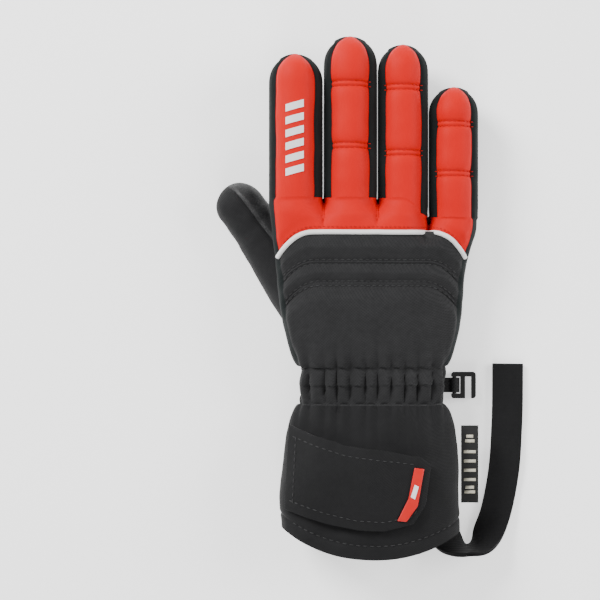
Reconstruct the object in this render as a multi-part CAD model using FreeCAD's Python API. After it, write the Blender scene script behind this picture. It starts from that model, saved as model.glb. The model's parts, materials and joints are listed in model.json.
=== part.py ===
import FreeCAD, Part
import math
import os

from FreeCAD import Vector

# A right-hand ski glove lying palm down: +Y towards the fingertips, thumb at -X, floor at z = 0.
# All sizes are in millimetres and all angles in degrees.

# Shell of the glove: outer fabric, padding and lining together
WALL = 3.0
LINING = 1.2
BODY_GAP = 0.3
ROLL = 0.107
AXIS_HEIGHT = 20.0
FLOOR = 0.0
REACH = 400.0

# Fingers: name, radius, tip, base joint, middle joint and end joint along Y
FINGER_GAP = 0.8
FINGER_SPAN_LEFT = -50.1
FINGERS = (
    ("index", 13.2, 121.5, 56.5, 75.0, 99.0),
    ("middle", 13.1, 130.6, 56.5, 76.2, 106.7),
    ("ring", 12.4, 126.9, 56.5, 72.9, 105.4),
    ("little", 12.2, 106.0, 47.0, 62.8, 87.5),
)
BASE_FLEX = 50.0
MIDDLE_FLEX = 60.0
END_FLEX = 36.0
BACK_FLEX = 6.0
WEDGE_SPARE = 1.5
BACK_LAYER = 8.0
PALM_LAYER = 8.0
LEATHER_TIP_SETBACK = 5.5

# Hand: sections along Y with insets from the finger span, half thickness and centre height
CROTCH_Y = 50.5
LITTLE_CROTCH_Y = 40.9
ROOT_OVERLAP = 1.0
HAND_END_Y = -33.0
HAND_SECTIONS = (
    (CROTCH_Y, -0.6, -0.6, 14.8, AXIS_HEIGHT),
    (33.0, 1.0, 2.2, 16.0, 19.8),
    (12.0, 3.4, 6.2, 17.8, 19.2),
    (-10.0, 5.8, 8.2, 17.6, 18.6),
    (HAND_END_Y, 13.6, 14.6, 15.6, 17.4),
)
SECTION_POWER = 2.7
SECTION_POINTS = 16

# Back of the hand: piping between the red yoke and the woven back
PIPING_Y = 33.3
PIPING_HALF_FLAT = 29.5
PIPING_DROP = 15.6
PIPING_SIDE = 18.0
PIPING_WIDTH = 2.5
PIPING_PROUD = 0.8

# Palm: slanted seam where the leather stops and the heel fabric starts
PALM_SEAM = ((-60.0, -33.5), (-9.0, -21.0), (22.0, -13.4), (60.0, -6.0))

# Thumb: axis in plan, height, radii and joints as distances along the axis
THUMB_ROOT = Vector(-20.0, -14.75, 10.5)
THUMB_DIRECTION = Vector(-0.5935, 0.8048, 0.0)
THUMB_START = 8.0
THUMB_BASE_JOINT = 44.0
THUMB_TIP_JOINT = 66.0
THUMB_LENGTH = 88.0
THUMB_BASE_RADIUS = 17.0
THUMB_TIP_RADIUS = 10.8
THUMB_SPREAD = 30.0
THUMB_FLEX = 45.0
THUMB_SEAM_TILT = 16.0
THUMB_HAND_GAP = 0.6

# Wrist gather and cuff: sections along Y with insets from the cuff width
WRIST_Y = -42.5
CUFF_START_Y = -52.0
CUFF_LEFT = -44.7
CUFF_RIGHT = 44.8
CUFF_SECTIONS = (
    (CUFF_START_Y, 7.2, 6.4, 15.4, 16.8),
    (-63.0, 3.9, 2.4, 17.4, 18.2),
    (-78.0, 1.6, 0.6, 19.0, 19.4),
    (-96.0, 0.0, 0.0, 20.0, 20.0),
    (-130.0, 0.8, 0.0, 20.0, 20.0),
)
GATHER_WAIST_INSET = 1.6
HEM_RADIUS = 80.0
HEM_CENTRE = Vector(2.2, -47.5, 0.0)
HEM_BINDING = 6.5
LINING_SETBACK = 2.0

# Closure flap over the back of the cuff, its loop patch and pull tab
FLAP_OUTLINE = (
    (-38.5, -62.5), (-27.5, -66.8), (-12.0, -71.8), (7.0, -74.4), (24.2, -77.3), (29.4, -81.1),
    (26.1, -100.2), (20.4, -109.3), (7.0, -112.7), (-6.5, -112.2), (-21.8, -108.9), (-40.5, -103.0),
    (-40.3, -90.0), (-39.6, -76.0),
)
TAB_OUTLINE = ((21.5, -82.0), (26.2, -82.6), (23.0, -100.5), (17.5, -108.0), (13.0, -107.5), (18.5, -97.0))
PATCH_OUTLINE = ((-24.0, -72.5), (20.0, -80.5), (16.0, -104.5), (-24.0, -103.0))
PATCH_THICKNESS = 0.8
FLAP_GAP = 1.3
FLAP_THICKNESS = 2.6
TAB_THICKNESS = 1.0

# Woven label in the right side seam of the cuff
LABEL_TOP_Y = -63.0
LABEL_LENGTH = 38.7
LABEL_WIDTH = 8.6
LABEL_THICKNESS = 1.2
LABEL_HEIGHT = 17.0
LABEL_GAP = 0.9

# Webbing loop and plastic hook at the right of the wrist
HOOK_Y = -43.4
HOOK_HEIGHT = 2.8
WEBBING_START_X = 35.6
WEBBING_WIDTH = 7.4
WEBBING_THICKNESS = 1.2
HOOK_BAR_X = 43.0
HOOK_BAR_RADIUS = 1.1
HOOK_BAR_CLEARANCE = 0.35
HOOK_WIDTH = 13.5
HOOK_LENGTH = 12.6
HOOK_THICKNESS = 3.4
HOOK_RAIL = 2.4
HOOK_SLOT = 4.2
HOOK_FILLET = 0.8

# Elastic wrist leash: a flat loop of tape lying beside the glove
TAPE_WIDTH = 15.6
TAPE_THICKNESS = 2.8
TAPE_LIFT = 0.1
TAPE_ROUTE = ((38.5, -119.0), (46.0, -123.6), (56.5, -121.4), (64.0, -110.5), (68.8, -86.0), (69.8, -31.8))
TAPE_BEND_RADII = (10.0, 12.0, 22.0, 60.0)
LEASH_HEM_GAP = 1.2

# Move from the sizes above to the origin below the middle of the whole glove, on the floor
ORIGIN_SHIFT = Vector(-0.494, 0.097, 0.0)

pieces = {}


def box(low, high):
    """A box between two corners."""
    size = high - low
    return Part.makeBox(size.x, size.y, size.z, low)


def plan_prism(points, low=-REACH, high=REACH):
    """A straight-sided outline in plan, extruded along Z."""
    corners = [Vector(x, y, low) for x, y in points]
    face = Part.Face(Part.makePolygon(corners + corners[:1]))
    return face.extrude(Vector(0, 0, high - low))


def smooth_prism(points, low, high):
    """A closed smooth outline in plan, extruded along Z."""
    curve = Part.BSplineCurve()
    curve.interpolate([Vector(x, y, low) for x, y in points], PeriodicFlag=True)
    return Part.Face(Part.Wire(curve.toShape())).extrude(Vector(0, 0, high - low))


def slope_prism(low, high):
    """The space between two heights measured from the rolled mid plane of the hand."""
    corners = []
    for x, offset in ((-REACH, low), (REACH, low), (REACH, high), (-REACH, high)):
        corners.append(Vector(x, -REACH, AXIS_HEIGHT - ROLL * x + offset))
    face = Part.Face(Part.makePolygon(corners + corners[:1]))
    return face.extrude(Vector(0, 2 * REACH, 0))


def section_wire(y, left, right, half_thickness, centre_z, roll, grow):
    """A closed rounded section across the glove at one place along Y."""
    middle = (left + right) / 2
    half_width = (right - left) / 2 + grow
    half_height = half_thickness + grow
    points = []
    for index in range(SECTION_POINTS):
        angle = 2 * math.pi * index / SECTION_POINTS
        cosine = math.cos(angle)
        sine = math.sin(angle)
        x = middle + math.copysign(abs(cosine) ** (2 / SECTION_POWER), cosine) * half_width
        rise = math.copysign(abs(sine) ** (2 / SECTION_POWER), sine) * half_height
        points.append(Vector(x, y, centre_z - roll * x + rise))
    curve = Part.BSplineCurve()
    curve.interpolate(points, PeriodicFlag=True)
    return Part.Wire(curve.toShape())


def sleeve_loft(sections, left, right, roll, grow, floor):
    """A closed loft through sections, cut flat where it rests on the floor."""
    wires = []
    for y, left_inset, right_inset, half_thickness, centre_z in sections:
        wires.append(
            section_wire(y, left + left_inset, right - right_inset, half_thickness, centre_z, roll, grow)
        )
    solid = Part.makeLoft(wires, True, False)
    room = box(Vector(-REACH, -REACH, floor), Vector(REACH, REACH, REACH))
    return solid.common(room)


def finger_places():
    """Each finger with its centre, set side by side from the left of the span."""
    places = []
    edge = FINGER_SPAN_LEFT
    for name, radius, tip, base, middle, end in FINGERS:
        x = edge + radius
        centre = Vector(x, 0, AXIS_HEIGHT - ROLL * x)
        places.append((name, radius, tip, (base, middle, end), centre))
        edge = x + radius + FINGER_GAP
    return places


def span_right():
    """The right edge of the four fingers side by side."""
    last = finger_places()[-1]
    return last[4].x + last[1]


def capsule(centre, radius, start, tip):
    """A finger-shaped solid along Y: a cylinder closed by a half sphere."""
    shoulder = tip - radius
    turn = math.sin(math.radians(45)) * radius
    near = Vector(centre.x, start, centre.z)
    edge = near + Vector(radius, 0, 0)
    corner = Vector(centre.x + radius, shoulder, centre.z)
    mid = Vector(centre.x + turn, shoulder + turn, centre.z)
    end = Vector(centre.x, tip, centre.z)
    outline = Part.Wire(
        [
            Part.makeLine(near, edge),
            Part.makeLine(edge, corner),
            Part.Arc(corner, mid, end).toShape(),
            Part.makeLine(end, near),
        ]
    )
    return Part.Face(outline).revolve(near, Vector(0, 1, 0), 360)


def flex_gap(y, z, x_low, x_high, depth, palm_angle, back_angle):
    """The bow-tie gap that lets two shells turn about an X axis without meeting."""
    palm = depth * math.tan(math.radians(palm_angle))
    back = depth * math.tan(math.radians(back_angle))
    corners = [
        Vector(x_low, y - BODY_GAP, z),
        Vector(x_low, y - BODY_GAP - back, z + depth),
        Vector(x_low, y + BODY_GAP + back, z + depth),
        Vector(x_low, y + BODY_GAP, z),
        Vector(x_low, y + BODY_GAP + palm, z - depth),
        Vector(x_low, y - BODY_GAP - palm, z - depth),
    ]
    face = Part.Face(Part.makePolygon(corners + corners[:1]))
    return face.extrude(Vector(x_high - x_low, 0, 0))


def finger_gap(place, joint, flex, back_flex):
    """The flex gap of one finger joint, as deep as that finger."""
    _, radius, _, _, centre = place
    half = radius + FINGER_GAP / 2
    palm_angle = flex / 2 + WEDGE_SPARE
    back_angle = back_flex / 2 + WEDGE_SPARE if back_flex else 0.0
    return flex_gap(
        joint, centre.z, centre.x - half, centre.x + half, 2 * radius, palm_angle, back_angle
    )


def in_order(shape):
    """The solids of a shape, from the wrist towards the tips."""
    return sorted(shape.Solids, key=lambda solid: solid.CenterOfMass.y)


def make_fingers():
    """Three hinged lengths for each finger, each with a back panel, side gussets and palm leather."""
    above = slope_prism(BACK_LAYER, REACH)
    below = slope_prism(-REACH, -PALM_LAYER)
    for place in finger_places():
        name, radius, tip, joints, centre = place
        base, middle, end = joints
        outer = capsule(centre, radius, base, tip)
        inner = capsule(centre, radius - WALL, base - WALL, tip - WALL)
        shell = outer.cut(inner)
        shell = shell.cut(finger_gap(place, base, BASE_FLEX, BACK_FLEX))
        shell = shell.cut(finger_gap(place, middle, MIDDLE_FLEX, 0.0))
        shell = shell.cut(finger_gap(place, end, END_FLEX, 0.0))
        leather_end = plan_prism(
            (
                (centre.x - REACH, -REACH), (centre.x + REACH, -REACH),
                (centre.x + REACH, tip - LEATHER_TIP_SETBACK), (centre.x - REACH, tip - LEATHER_TIP_SETBACK),
            )
        )
        for part, length in zip(("base", "middle", "tip"), in_order(shell)):
            back = length.common(above)
            palm = length.common(below).common(leather_end)
            pieces[f"{name}_{part}_back"] = back
            pieces[f"{name}_{part}_leather"] = palm
            pieces[f"{name}_{part}_gussets"] = length.cut(above).cut(below.common(leather_end))


def hand_block(grow, floor, end_setback):
    """The solid of the hand with its finger roots, larger or smaller than the real skin by grow."""
    places = finger_places()
    block = sleeve_loft(HAND_SECTIONS, FINGER_SPAN_LEFT, span_right(), ROLL, grow, floor)
    fork = places[2][4].x + places[2][1] + FINGER_GAP / 2
    notch_y = LITTLE_CROTCH_Y - end_setback
    block = block.cut(box(Vector(fork - end_setback, notch_y, -REACH), Vector(REACH, REACH, REACH)))
    if end_setback:
        block = block.cut(
            box(Vector(-REACH, CROTCH_Y - end_setback, -REACH), Vector(REACH, REACH, REACH))
        )
    for place in places:
        _, radius, _, joints, centre = place
        root_y = min(joints[0] - radius / 2, CROTCH_Y) - end_setback - ROOT_OVERLAP
        start = Vector(centre.x, root_y, centre.z)
        length = joints[0] - start.y
        block = block.fuse(Part.makeCylinder(radius + grow, length, start, Vector(0, 1, 0)))
    return block


def piping_band(offset_low, offset_high):
    """The plan band between two offsets of the piping curve, from side to side."""
    points = []
    for offset, direction in ((offset_low, 1), (offset_high, -1)):
        line = [
            (-PIPING_HALF_FLAT - 3 * PIPING_SIDE, PIPING_Y - 3 * PIPING_DROP + offset),
            (-PIPING_HALF_FLAT - PIPING_SIDE, PIPING_Y - PIPING_DROP + offset),
            (-PIPING_HALF_FLAT - PIPING_SIDE / 2, PIPING_Y - PIPING_DROP / 4 + offset),
            (-PIPING_HALF_FLAT, PIPING_Y + offset),
            (PIPING_HALF_FLAT, PIPING_Y + offset),
            (PIPING_HALF_FLAT + PIPING_SIDE / 2, PIPING_Y - PIPING_DROP / 4 + offset),
            (PIPING_HALF_FLAT + PIPING_SIDE, PIPING_Y - PIPING_DROP + offset),
            (PIPING_HALF_FLAT + 3 * PIPING_SIDE, PIPING_Y - 3 * PIPING_DROP + offset),
        ]
        points.extend(line[::direction])
    return plan_prism(points)


def thumb_point(distance):
    """A point on the thumb's axis."""
    return THUMB_ROOT + THUMB_DIRECTION * distance


def thumb_block(grow, floor, start, end):
    """The solid of the thumb between two distances along its axis, with a round tip."""
    shoulder = THUMB_LENGTH - THUMB_TIP_RADIUS
    taper = (THUMB_TIP_RADIUS - THUMB_BASE_RADIUS) / (shoulder - THUMB_START)
    radius_at_start = THUMB_BASE_RADIUS + taper * (start - THUMB_START) + grow
    top = min(end, shoulder)
    radius_at_top = THUMB_BASE_RADIUS + taper * (top - THUMB_START) + grow
    block = Part.makeCone(
        radius_at_start, radius_at_top, top - start, thumb_point(start), THUMB_DIRECTION
    )
    if end > shoulder:
        ball = Part.makeSphere(radius_at_top, thumb_point(shoulder))
        block = block.fuse(ball)
    return block.common(box(Vector(-REACH, -REACH, floor), Vector(REACH, REACH, REACH)))


def thumb_frame_prism(corners):
    """A prism through the glove's height, given across and along the thumb's axis."""
    across = Vector(THUMB_DIRECTION.y, -THUMB_DIRECTION.x, 0)
    points = []
    for side, distance in corners:
        point = thumb_point(distance) + across * side
        points.append((point.x, point.y))
    return plan_prism(points)


def thumb_beyond(distance):
    """All that lies past a distance along the thumb's axis."""
    end = 2 * THUMB_LENGTH
    return thumb_frame_prism(((-REACH, distance), (REACH, distance), (REACH, end), (-REACH, end)))


def thumb_spread_gap():
    """The gap at the thumb's base: it opens on the outer side, where spreading closes it."""
    closing = REACH / 4 * math.tan(math.radians(THUMB_SPREAD / 2 + WEDGE_SPARE))
    joint = THUMB_BASE_JOINT
    side = REACH / 4
    return thumb_frame_prism(
        (
            (side, joint - BODY_GAP), (0, joint - BODY_GAP), (-side, joint - BODY_GAP - closing),
            (-side, joint + BODY_GAP + closing), (0, joint + BODY_GAP), (side, joint + BODY_GAP),
        )
    )


def thumb_flex_gap():
    """The gap at the thumb's end joint: it opens on the underside."""
    depth = 2 * THUMB_BASE_RADIUS
    palm = depth * math.tan(math.radians(THUMB_FLEX / 2 + WEDGE_SPARE))
    across = Vector(THUMB_DIRECTION.y, -THUMB_DIRECTION.x, 0)
    centre = thumb_point(THUMB_TIP_JOINT) - across * depth
    corners = []
    for along, rise in (
        (-BODY_GAP, 0), (-BODY_GAP, depth), (BODY_GAP, depth), (BODY_GAP, 0),
        (BODY_GAP + palm, -depth), (-BODY_GAP - palm, -depth),
    ):
        corners.append(centre + THUMB_DIRECTION * along + Vector(0, 0, rise))
    face = Part.Face(Part.makePolygon(corners + corners[:1]))
    return face.extrude(across * (2 * depth))


def thumb_leather_side():
    """The half space on the index side of the thumb's long seam."""
    across = Vector(THUMB_DIRECTION.y, -THUMB_DIRECTION.x, 0)
    tilt = math.radians(THUMB_SEAM_TILT)
    up = across * math.sin(tilt) + Vector(0, 0, math.cos(tilt))
    away = across * math.cos(tilt) - Vector(0, 0, math.sin(tilt))
    start = thumb_point(-REACH)
    corners = [
        start - up * REACH, start + up * REACH, start + up * REACH + away * REACH,
        start - up * REACH + away * REACH,
    ]
    face = Part.Face(Part.makePolygon(corners + corners[:1]))
    return face.extrude(THUMB_DIRECTION * (2 * REACH))


def make_hand_and_thumb():
    """The hand's panels, its piping, the thumb's base and the two moving lengths of the thumb."""
    outer = hand_block(0.0, FLOOR, 0.0)
    inner = hand_block(-WALL, FLOOR + WALL, WALL)
    thumb_outer = thumb_block(0.0, FLOOR, THUMB_START, THUMB_LENGTH)
    thumb_inner = thumb_block(-WALL, FLOOR + WALL, THUMB_START + WALL, THUMB_LENGTH)
    tube_end = box(
        Vector(-REACH, HAND_END_Y - REACH, -REACH), Vector(REACH, HAND_END_Y, REACH)
    )
    shell = outer.cut(inner).cut(thumb_inner)
    for place in finger_places():
        joints = place[3]
        shell = shell.cut(finger_gap(place, joints[0], BASE_FLEX, BACK_FLEX))

    above = slope_prism(BACK_LAYER, REACH)
    below = slope_prism(-REACH, -PALM_LAYER)
    back = shell.common(above)
    palm = shell.common(below)
    pieces["hand_side_gussets"] = shell.cut(above).cut(below)

    half = PIPING_WIDTH / 2
    pieces["red_yoke"] = back.common(piping_band(half, REACH))
    pieces["woven_back"] = back.common(piping_band(-REACH, -half))
    raised = sleeve_loft(HAND_SECTIONS, FINGER_SPAN_LEFT, span_right(), ROLL, PIPING_PROUD, FLOOR)
    pieces["white_piping"] = raised.common(piping_band(-half, half)).common(above).cut(inner)

    leather_side = plan_prism(list(PALM_SEAM) + [(REACH, REACH), (-REACH, REACH)])
    pieces["palm_leather"] = palm.common(leather_side)
    pieces["palm_heel"] = palm.cut(leather_side)

    clear_of_hand = hand_block(THUMB_HAND_GAP, FLOOR - WALL, 0.0)
    thumb_shell = thumb_outer.cut(thumb_inner).cut(thumb_spread_gap())
    moving = thumb_beyond(THUMB_BASE_JOINT)
    pieces["thumb_base_panel"] = thumb_shell.cut(moving).cut(outer).cut(inner).cut(tube_end)
    lengths = thumb_shell.common(moving).cut(clear_of_hand).cut(thumb_flex_gap())
    far = thumb_beyond(THUMB_TIP_JOINT)
    leather = thumb_leather_side()
    for part, length in (("middle", lengths.cut(far)), ("tip", lengths.common(far))):
        pieces[f"thumb_{part}_leather"] = length.common(leather)
        pieces[f"thumb_{part}_fabric"] = length.cut(leather)


def cuff_block(grow, floor):
    """The solid of the cuff, larger or smaller than its skin by grow."""
    return sleeve_loft(CUFF_SECTIONS, CUFF_LEFT, CUFF_RIGHT, 0.0, grow, floor)


def hem_disc(radius):
    """The round plan line that the hem follows, as a disc of the given radius."""
    start = Vector(HEM_CENTRE.x, HEM_CENTRE.y, -REACH)
    return Part.makeCylinder(radius, 2 * REACH, start)


def make_cuff():
    """The cuff's two panels, hem binding, lining and the gathered wrist."""
    outer = cuff_block(0.0, FLOOR)
    liner_outer = cuff_block(LINING - WALL, FLOOR + WALL - LINING)
    inner = cuff_block(-WALL, FLOOR + WALL)
    skin = outer.cut(liner_outer).common(hem_disc(HEM_RADIUS))
    inside_hem = hem_disc(HEM_RADIUS - HEM_BINDING)
    upper = box(Vector(-REACH, -REACH, CUFF_SECTIONS[3][4]), Vector(REACH, REACH, REACH))
    body = skin.common(inside_hem)
    pieces["cuff_back"] = body.common(upper)
    pieces["cuff_palm"] = body.cut(upper)
    pieces["cuff_hem_binding"] = skin.cut(inside_hem)
    pieces["cuff_lining"] = liner_outer.cut(inner).common(hem_disc(HEM_RADIUS - LINING_SETBACK))

    hand_end = HAND_SECTIONS[-1]
    cuff_start = CUFF_SECTIONS[0]
    shells = []
    for grow, floor in ((0.0, FLOOR), (-WALL, FLOOR + WALL)):
        wires = [
            section_wire(
                hand_end[0], FINGER_SPAN_LEFT + hand_end[1], span_right() - hand_end[2],
                hand_end[3], hand_end[4], ROLL, grow,
            ),
            section_wire(
                WRIST_Y, CUFF_LEFT + cuff_start[1] + GATHER_WAIST_INSET,
                CUFF_RIGHT - cuff_start[2] - GATHER_WAIST_INSET,
                cuff_start[3] - GATHER_WAIST_INSET, cuff_start[4], ROLL / 2, grow,
            ),
            section_wire(
                cuff_start[0], CUFF_LEFT + cuff_start[1], CUFF_RIGHT - cuff_start[2],
                cuff_start[3], cuff_start[4], 0.0, grow,
            ),
        ]
        room = box(Vector(-REACH, -REACH, floor), Vector(REACH, REACH, REACH))
        shells.append(Part.makeLoft(wires, True, False).common(room))
    pieces["wrist_gather"] = shells[0].cut(shells[1])


def make_closure():
    """The closure flap over the cuff, the loop patch under it and the pull tab on it."""
    surface = cuff_block(0.0, FLOOR)
    patch_top = cuff_block(PATCH_THICKNESS, FLOOR)
    flap_low = cuff_block(FLAP_GAP, FLOOR)
    flap_top = cuff_block(FLAP_GAP + FLAP_THICKNESS, FLOOR)
    tab_top = cuff_block(FLAP_GAP + FLAP_THICKNESS + TAB_THICKNESS, FLOOR)
    half = CUFF_SECTIONS[3][4]
    pieces["closure_flap"] = flap_top.cut(flap_low).common(smooth_prism(FLAP_OUTLINE, half, REACH))
    pieces["flap_pull_tab"] = tab_top.cut(flap_top).common(plan_prism(TAB_OUTLINE, half, REACH))
    pieces["cuff_loop_patch"] = patch_top.cut(surface).common(plan_prism(PATCH_OUTLINE, half, REACH))


def make_label():
    """The woven label that stands out of the cuff's right side seam."""
    left = CUFF_RIGHT + LABEL_GAP
    low = Vector(left, LABEL_TOP_Y - LABEL_LENGTH, LABEL_HEIGHT - LABEL_THICKNESS / 2)
    high = Vector(left + LABEL_WIDTH, LABEL_TOP_Y, LABEL_HEIGHT + LABEL_THICKNESS / 2)
    pieces["side_label"] = box(low, high)


def make_hook():
    """The webbing loop sewn to the wrist and the plastic hook that turns on it."""
    bar = Vector(HOOK_BAR_X, HOOK_Y - HOOK_WIDTH / 2, HOOK_HEIGHT)
    inside = HOOK_BAR_RADIUS + HOOK_BAR_CLEARANCE
    outside = inside + WEBBING_THICKNESS
    half_width = WEBBING_WIDTH / 2
    start = Vector(HOOK_BAR_X, HOOK_Y - half_width, HOOK_HEIGHT)
    ring = Part.makeCylinder(outside, WEBBING_WIDTH, start, Vector(0, 1, 0))
    ears = box(
        Vector(WEBBING_START_X, HOOK_Y - half_width, HOOK_HEIGHT - WEBBING_THICKNESS),
        Vector(HOOK_BAR_X, HOOK_Y + half_width, HOOK_HEIGHT + WEBBING_THICKNESS),
    )
    hole = Part.makeCylinder(inside, WEBBING_WIDTH, start, Vector(0, 1, 0))
    pieces["hook_webbing"] = ring.fuse(ears).cut(hole)

    half = HOOK_WIDTH / 2
    bar_solid = Part.makeCylinder(HOOK_BAR_RADIUS, HOOK_WIDTH, bar, Vector(0, 1, 0))
    thick = HOOK_THICKNESS / 2
    window_end = HOOK_BAR_X + outside + HOOK_BAR_CLEARANCE
    end = HOOK_BAR_X - thick + HOOK_LENGTH
    plate = box(
        Vector(HOOK_BAR_X - thick, HOOK_Y - half, HOOK_HEIGHT - thick),
        Vector(end, HOOK_Y + half, HOOK_HEIGHT + thick),
    )
    upright = [edge for edge in plate.Edges if edge.BoundBox.ZLength > HOOK_THICKNESS / 2]
    plate = plate.makeFillet(HOOK_FILLET * 2, upright)
    window = box(
        Vector(HOOK_BAR_X - HOOK_LENGTH, HOOK_Y - half + HOOK_RAIL, -REACH),
        Vector(window_end, HOOK_Y + half - HOOK_RAIL, REACH),
    )
    slot = box(
        Vector(window_end + HOOK_RAIL, HOOK_Y - HOOK_SLOT / 2, -REACH),
        Vector(end - HOOK_RAIL, HOOK_Y + half - HOOK_RAIL, REACH),
    )
    mouth = box(
        Vector(window_end + HOOK_RAIL, HOOK_Y - half - HOOK_RAIL, -REACH),
        Vector(end - HOOK_RAIL, HOOK_Y - HOOK_SLOT / 2, REACH),
    )
    pieces["glove_hook"] = plate.cut(window).cut(slot).cut(mouth).fuse(bar_solid)


def tape_section(point, heading):
    """The tape's cross-section face at a point of its route."""
    across = Vector(-heading.y, heading.x, 0) * (TAPE_WIDTH / 2)
    rise = Vector(0, 0, TAPE_THICKNESS)
    corners = [point - across, point + across, point + across + rise, point - across + rise]
    return Part.Face(Part.makePolygon(corners + corners[:1]))


def make_leash():
    """The flat folded loop of elastic tape beside the glove: straight runs joined by arcs."""
    points = [Vector(x, y, TAPE_LIFT) for x, y in TAPE_ROUTE]
    here = points[0]
    runs = []
    for corner, after, radius in zip(points[1:-1], points[2:], TAPE_BEND_RADII):
        into = (corner - here).normalize()
        out = (after - corner).normalize()
        turn = math.atan2(into.cross(out).z, into.dot(out))
        cut = radius * math.tan(turn / 2)
        arc_in = corner - into * cut
        centre = arc_in + Vector(-into.y, into.x, 0) * radius
        runs.append(tape_section(here, into).extrude(arc_in - here))
        runs.append(tape_section(arc_in, into).revolve(centre, Vector(0, 0, 1), math.degrees(turn)))
        here = corner + out * cut
    last = (points[-1] - here).normalize()
    runs.append(tape_section(here, last).extrude(points[-1] - here))
    tape = runs[0]
    for run in runs[1:]:
        tape = tape.fuse(run)
    under_cuff = box(Vector(CUFF_LEFT, -REACH, -REACH), Vector(CUFF_RIGHT, REACH, REACH))
    pieces["wrist_leash"] = tape.cut(hem_disc(HEM_RADIUS + LEASH_HEM_GAP).common(under_cuff))


def export():
    """Write each piece as its own STEP file."""
    os.makedirs("parts", exist_ok=True)
    for name, shape in pieces.items():
        placed = shape.removeSplitter().translated(ORIGIN_SHIFT)
        placed.exportStep(f"parts/{name}.step")


make_fingers()
make_hand_and_thumb()
make_cuff()
make_closure()
make_label()
make_hook()
make_leash()
export()
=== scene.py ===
"""A padded ski glove lying palm down: woven back, leather palm, gathered wrist, cuff, hook and leash."""
import json
import logging
import math
from dataclasses import dataclass, field
from enum import Enum
from typing import Callable, Optional

import bmesh
import bpy
from mathutils import Matrix, Vector, noise
from mathutils.bvhtree import BVHTree

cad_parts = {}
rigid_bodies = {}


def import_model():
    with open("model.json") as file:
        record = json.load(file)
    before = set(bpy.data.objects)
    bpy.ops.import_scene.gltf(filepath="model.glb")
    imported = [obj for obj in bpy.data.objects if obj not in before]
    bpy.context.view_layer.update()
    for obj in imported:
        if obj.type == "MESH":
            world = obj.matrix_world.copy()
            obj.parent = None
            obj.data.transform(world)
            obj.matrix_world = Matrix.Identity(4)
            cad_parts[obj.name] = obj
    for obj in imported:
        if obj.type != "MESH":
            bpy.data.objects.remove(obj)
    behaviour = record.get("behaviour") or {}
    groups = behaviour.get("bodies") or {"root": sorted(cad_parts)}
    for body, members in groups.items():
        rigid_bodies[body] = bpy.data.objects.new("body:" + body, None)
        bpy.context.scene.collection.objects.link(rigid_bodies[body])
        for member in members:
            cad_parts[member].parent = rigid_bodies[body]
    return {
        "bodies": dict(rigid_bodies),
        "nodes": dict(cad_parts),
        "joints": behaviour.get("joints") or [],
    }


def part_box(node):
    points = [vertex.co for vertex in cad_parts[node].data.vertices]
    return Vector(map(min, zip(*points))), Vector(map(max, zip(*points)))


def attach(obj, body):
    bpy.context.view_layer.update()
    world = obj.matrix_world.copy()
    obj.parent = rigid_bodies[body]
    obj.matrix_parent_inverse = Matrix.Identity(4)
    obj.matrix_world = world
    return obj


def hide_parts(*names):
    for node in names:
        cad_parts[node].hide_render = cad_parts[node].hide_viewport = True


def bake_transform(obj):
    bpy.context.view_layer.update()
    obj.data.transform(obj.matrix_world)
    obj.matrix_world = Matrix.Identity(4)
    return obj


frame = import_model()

log = logging.getLogger("ski_glove")
MM = 0.001
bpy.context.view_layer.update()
WELD = 0.02 * MM  # points closer than this are one point
CLOTH_LOWEST = 0.15 * MM  # the least height of a cloth's points over the floor
LYING_BELOW = 1.2 * MM  # cloth lower than this lies on the floor and keeps its shape
HAND_HALF = 50.0  # the nominal half width that the seams' fall is measured over, in mm
DOME_ROWS = 8  # rows of faces that close a fingertip
SIDE_COLUMNS = 3  # columns of faces at each side of the hand that are side cloth
SHARP_EDGE = math.radians(55)


class Weave(Enum):
    """The cloths that the glove is cut from."""

    FINE = "fine"
    CANVAS = "canvas"
    RIB = "rib"


def smooth(low: float, high: float, value: float) -> float:
    """Smooth step of value between low and high."""
    if high == low:
        return 0.0 if value < low else 1.0
    share = min(1.0, max(0.0, (value - low) / (high - low)))
    return share * share * (3 - 2 * share)


def bump(distance: float, width: float) -> float:
    """A round pulse that is 1 at no distance and fades over width."""
    return math.exp(-((distance / width) ** 2))


def joint_place(name: str) -> Vector:
    """Where a joint's axis passes, in the row frame."""
    for joint in frame["joints"]:
        if joint["name"] == name:
            return Vector(joint["pos_m"])
    raise KeyError(name)


# ---------------------------------------------------------------- finishes


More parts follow.
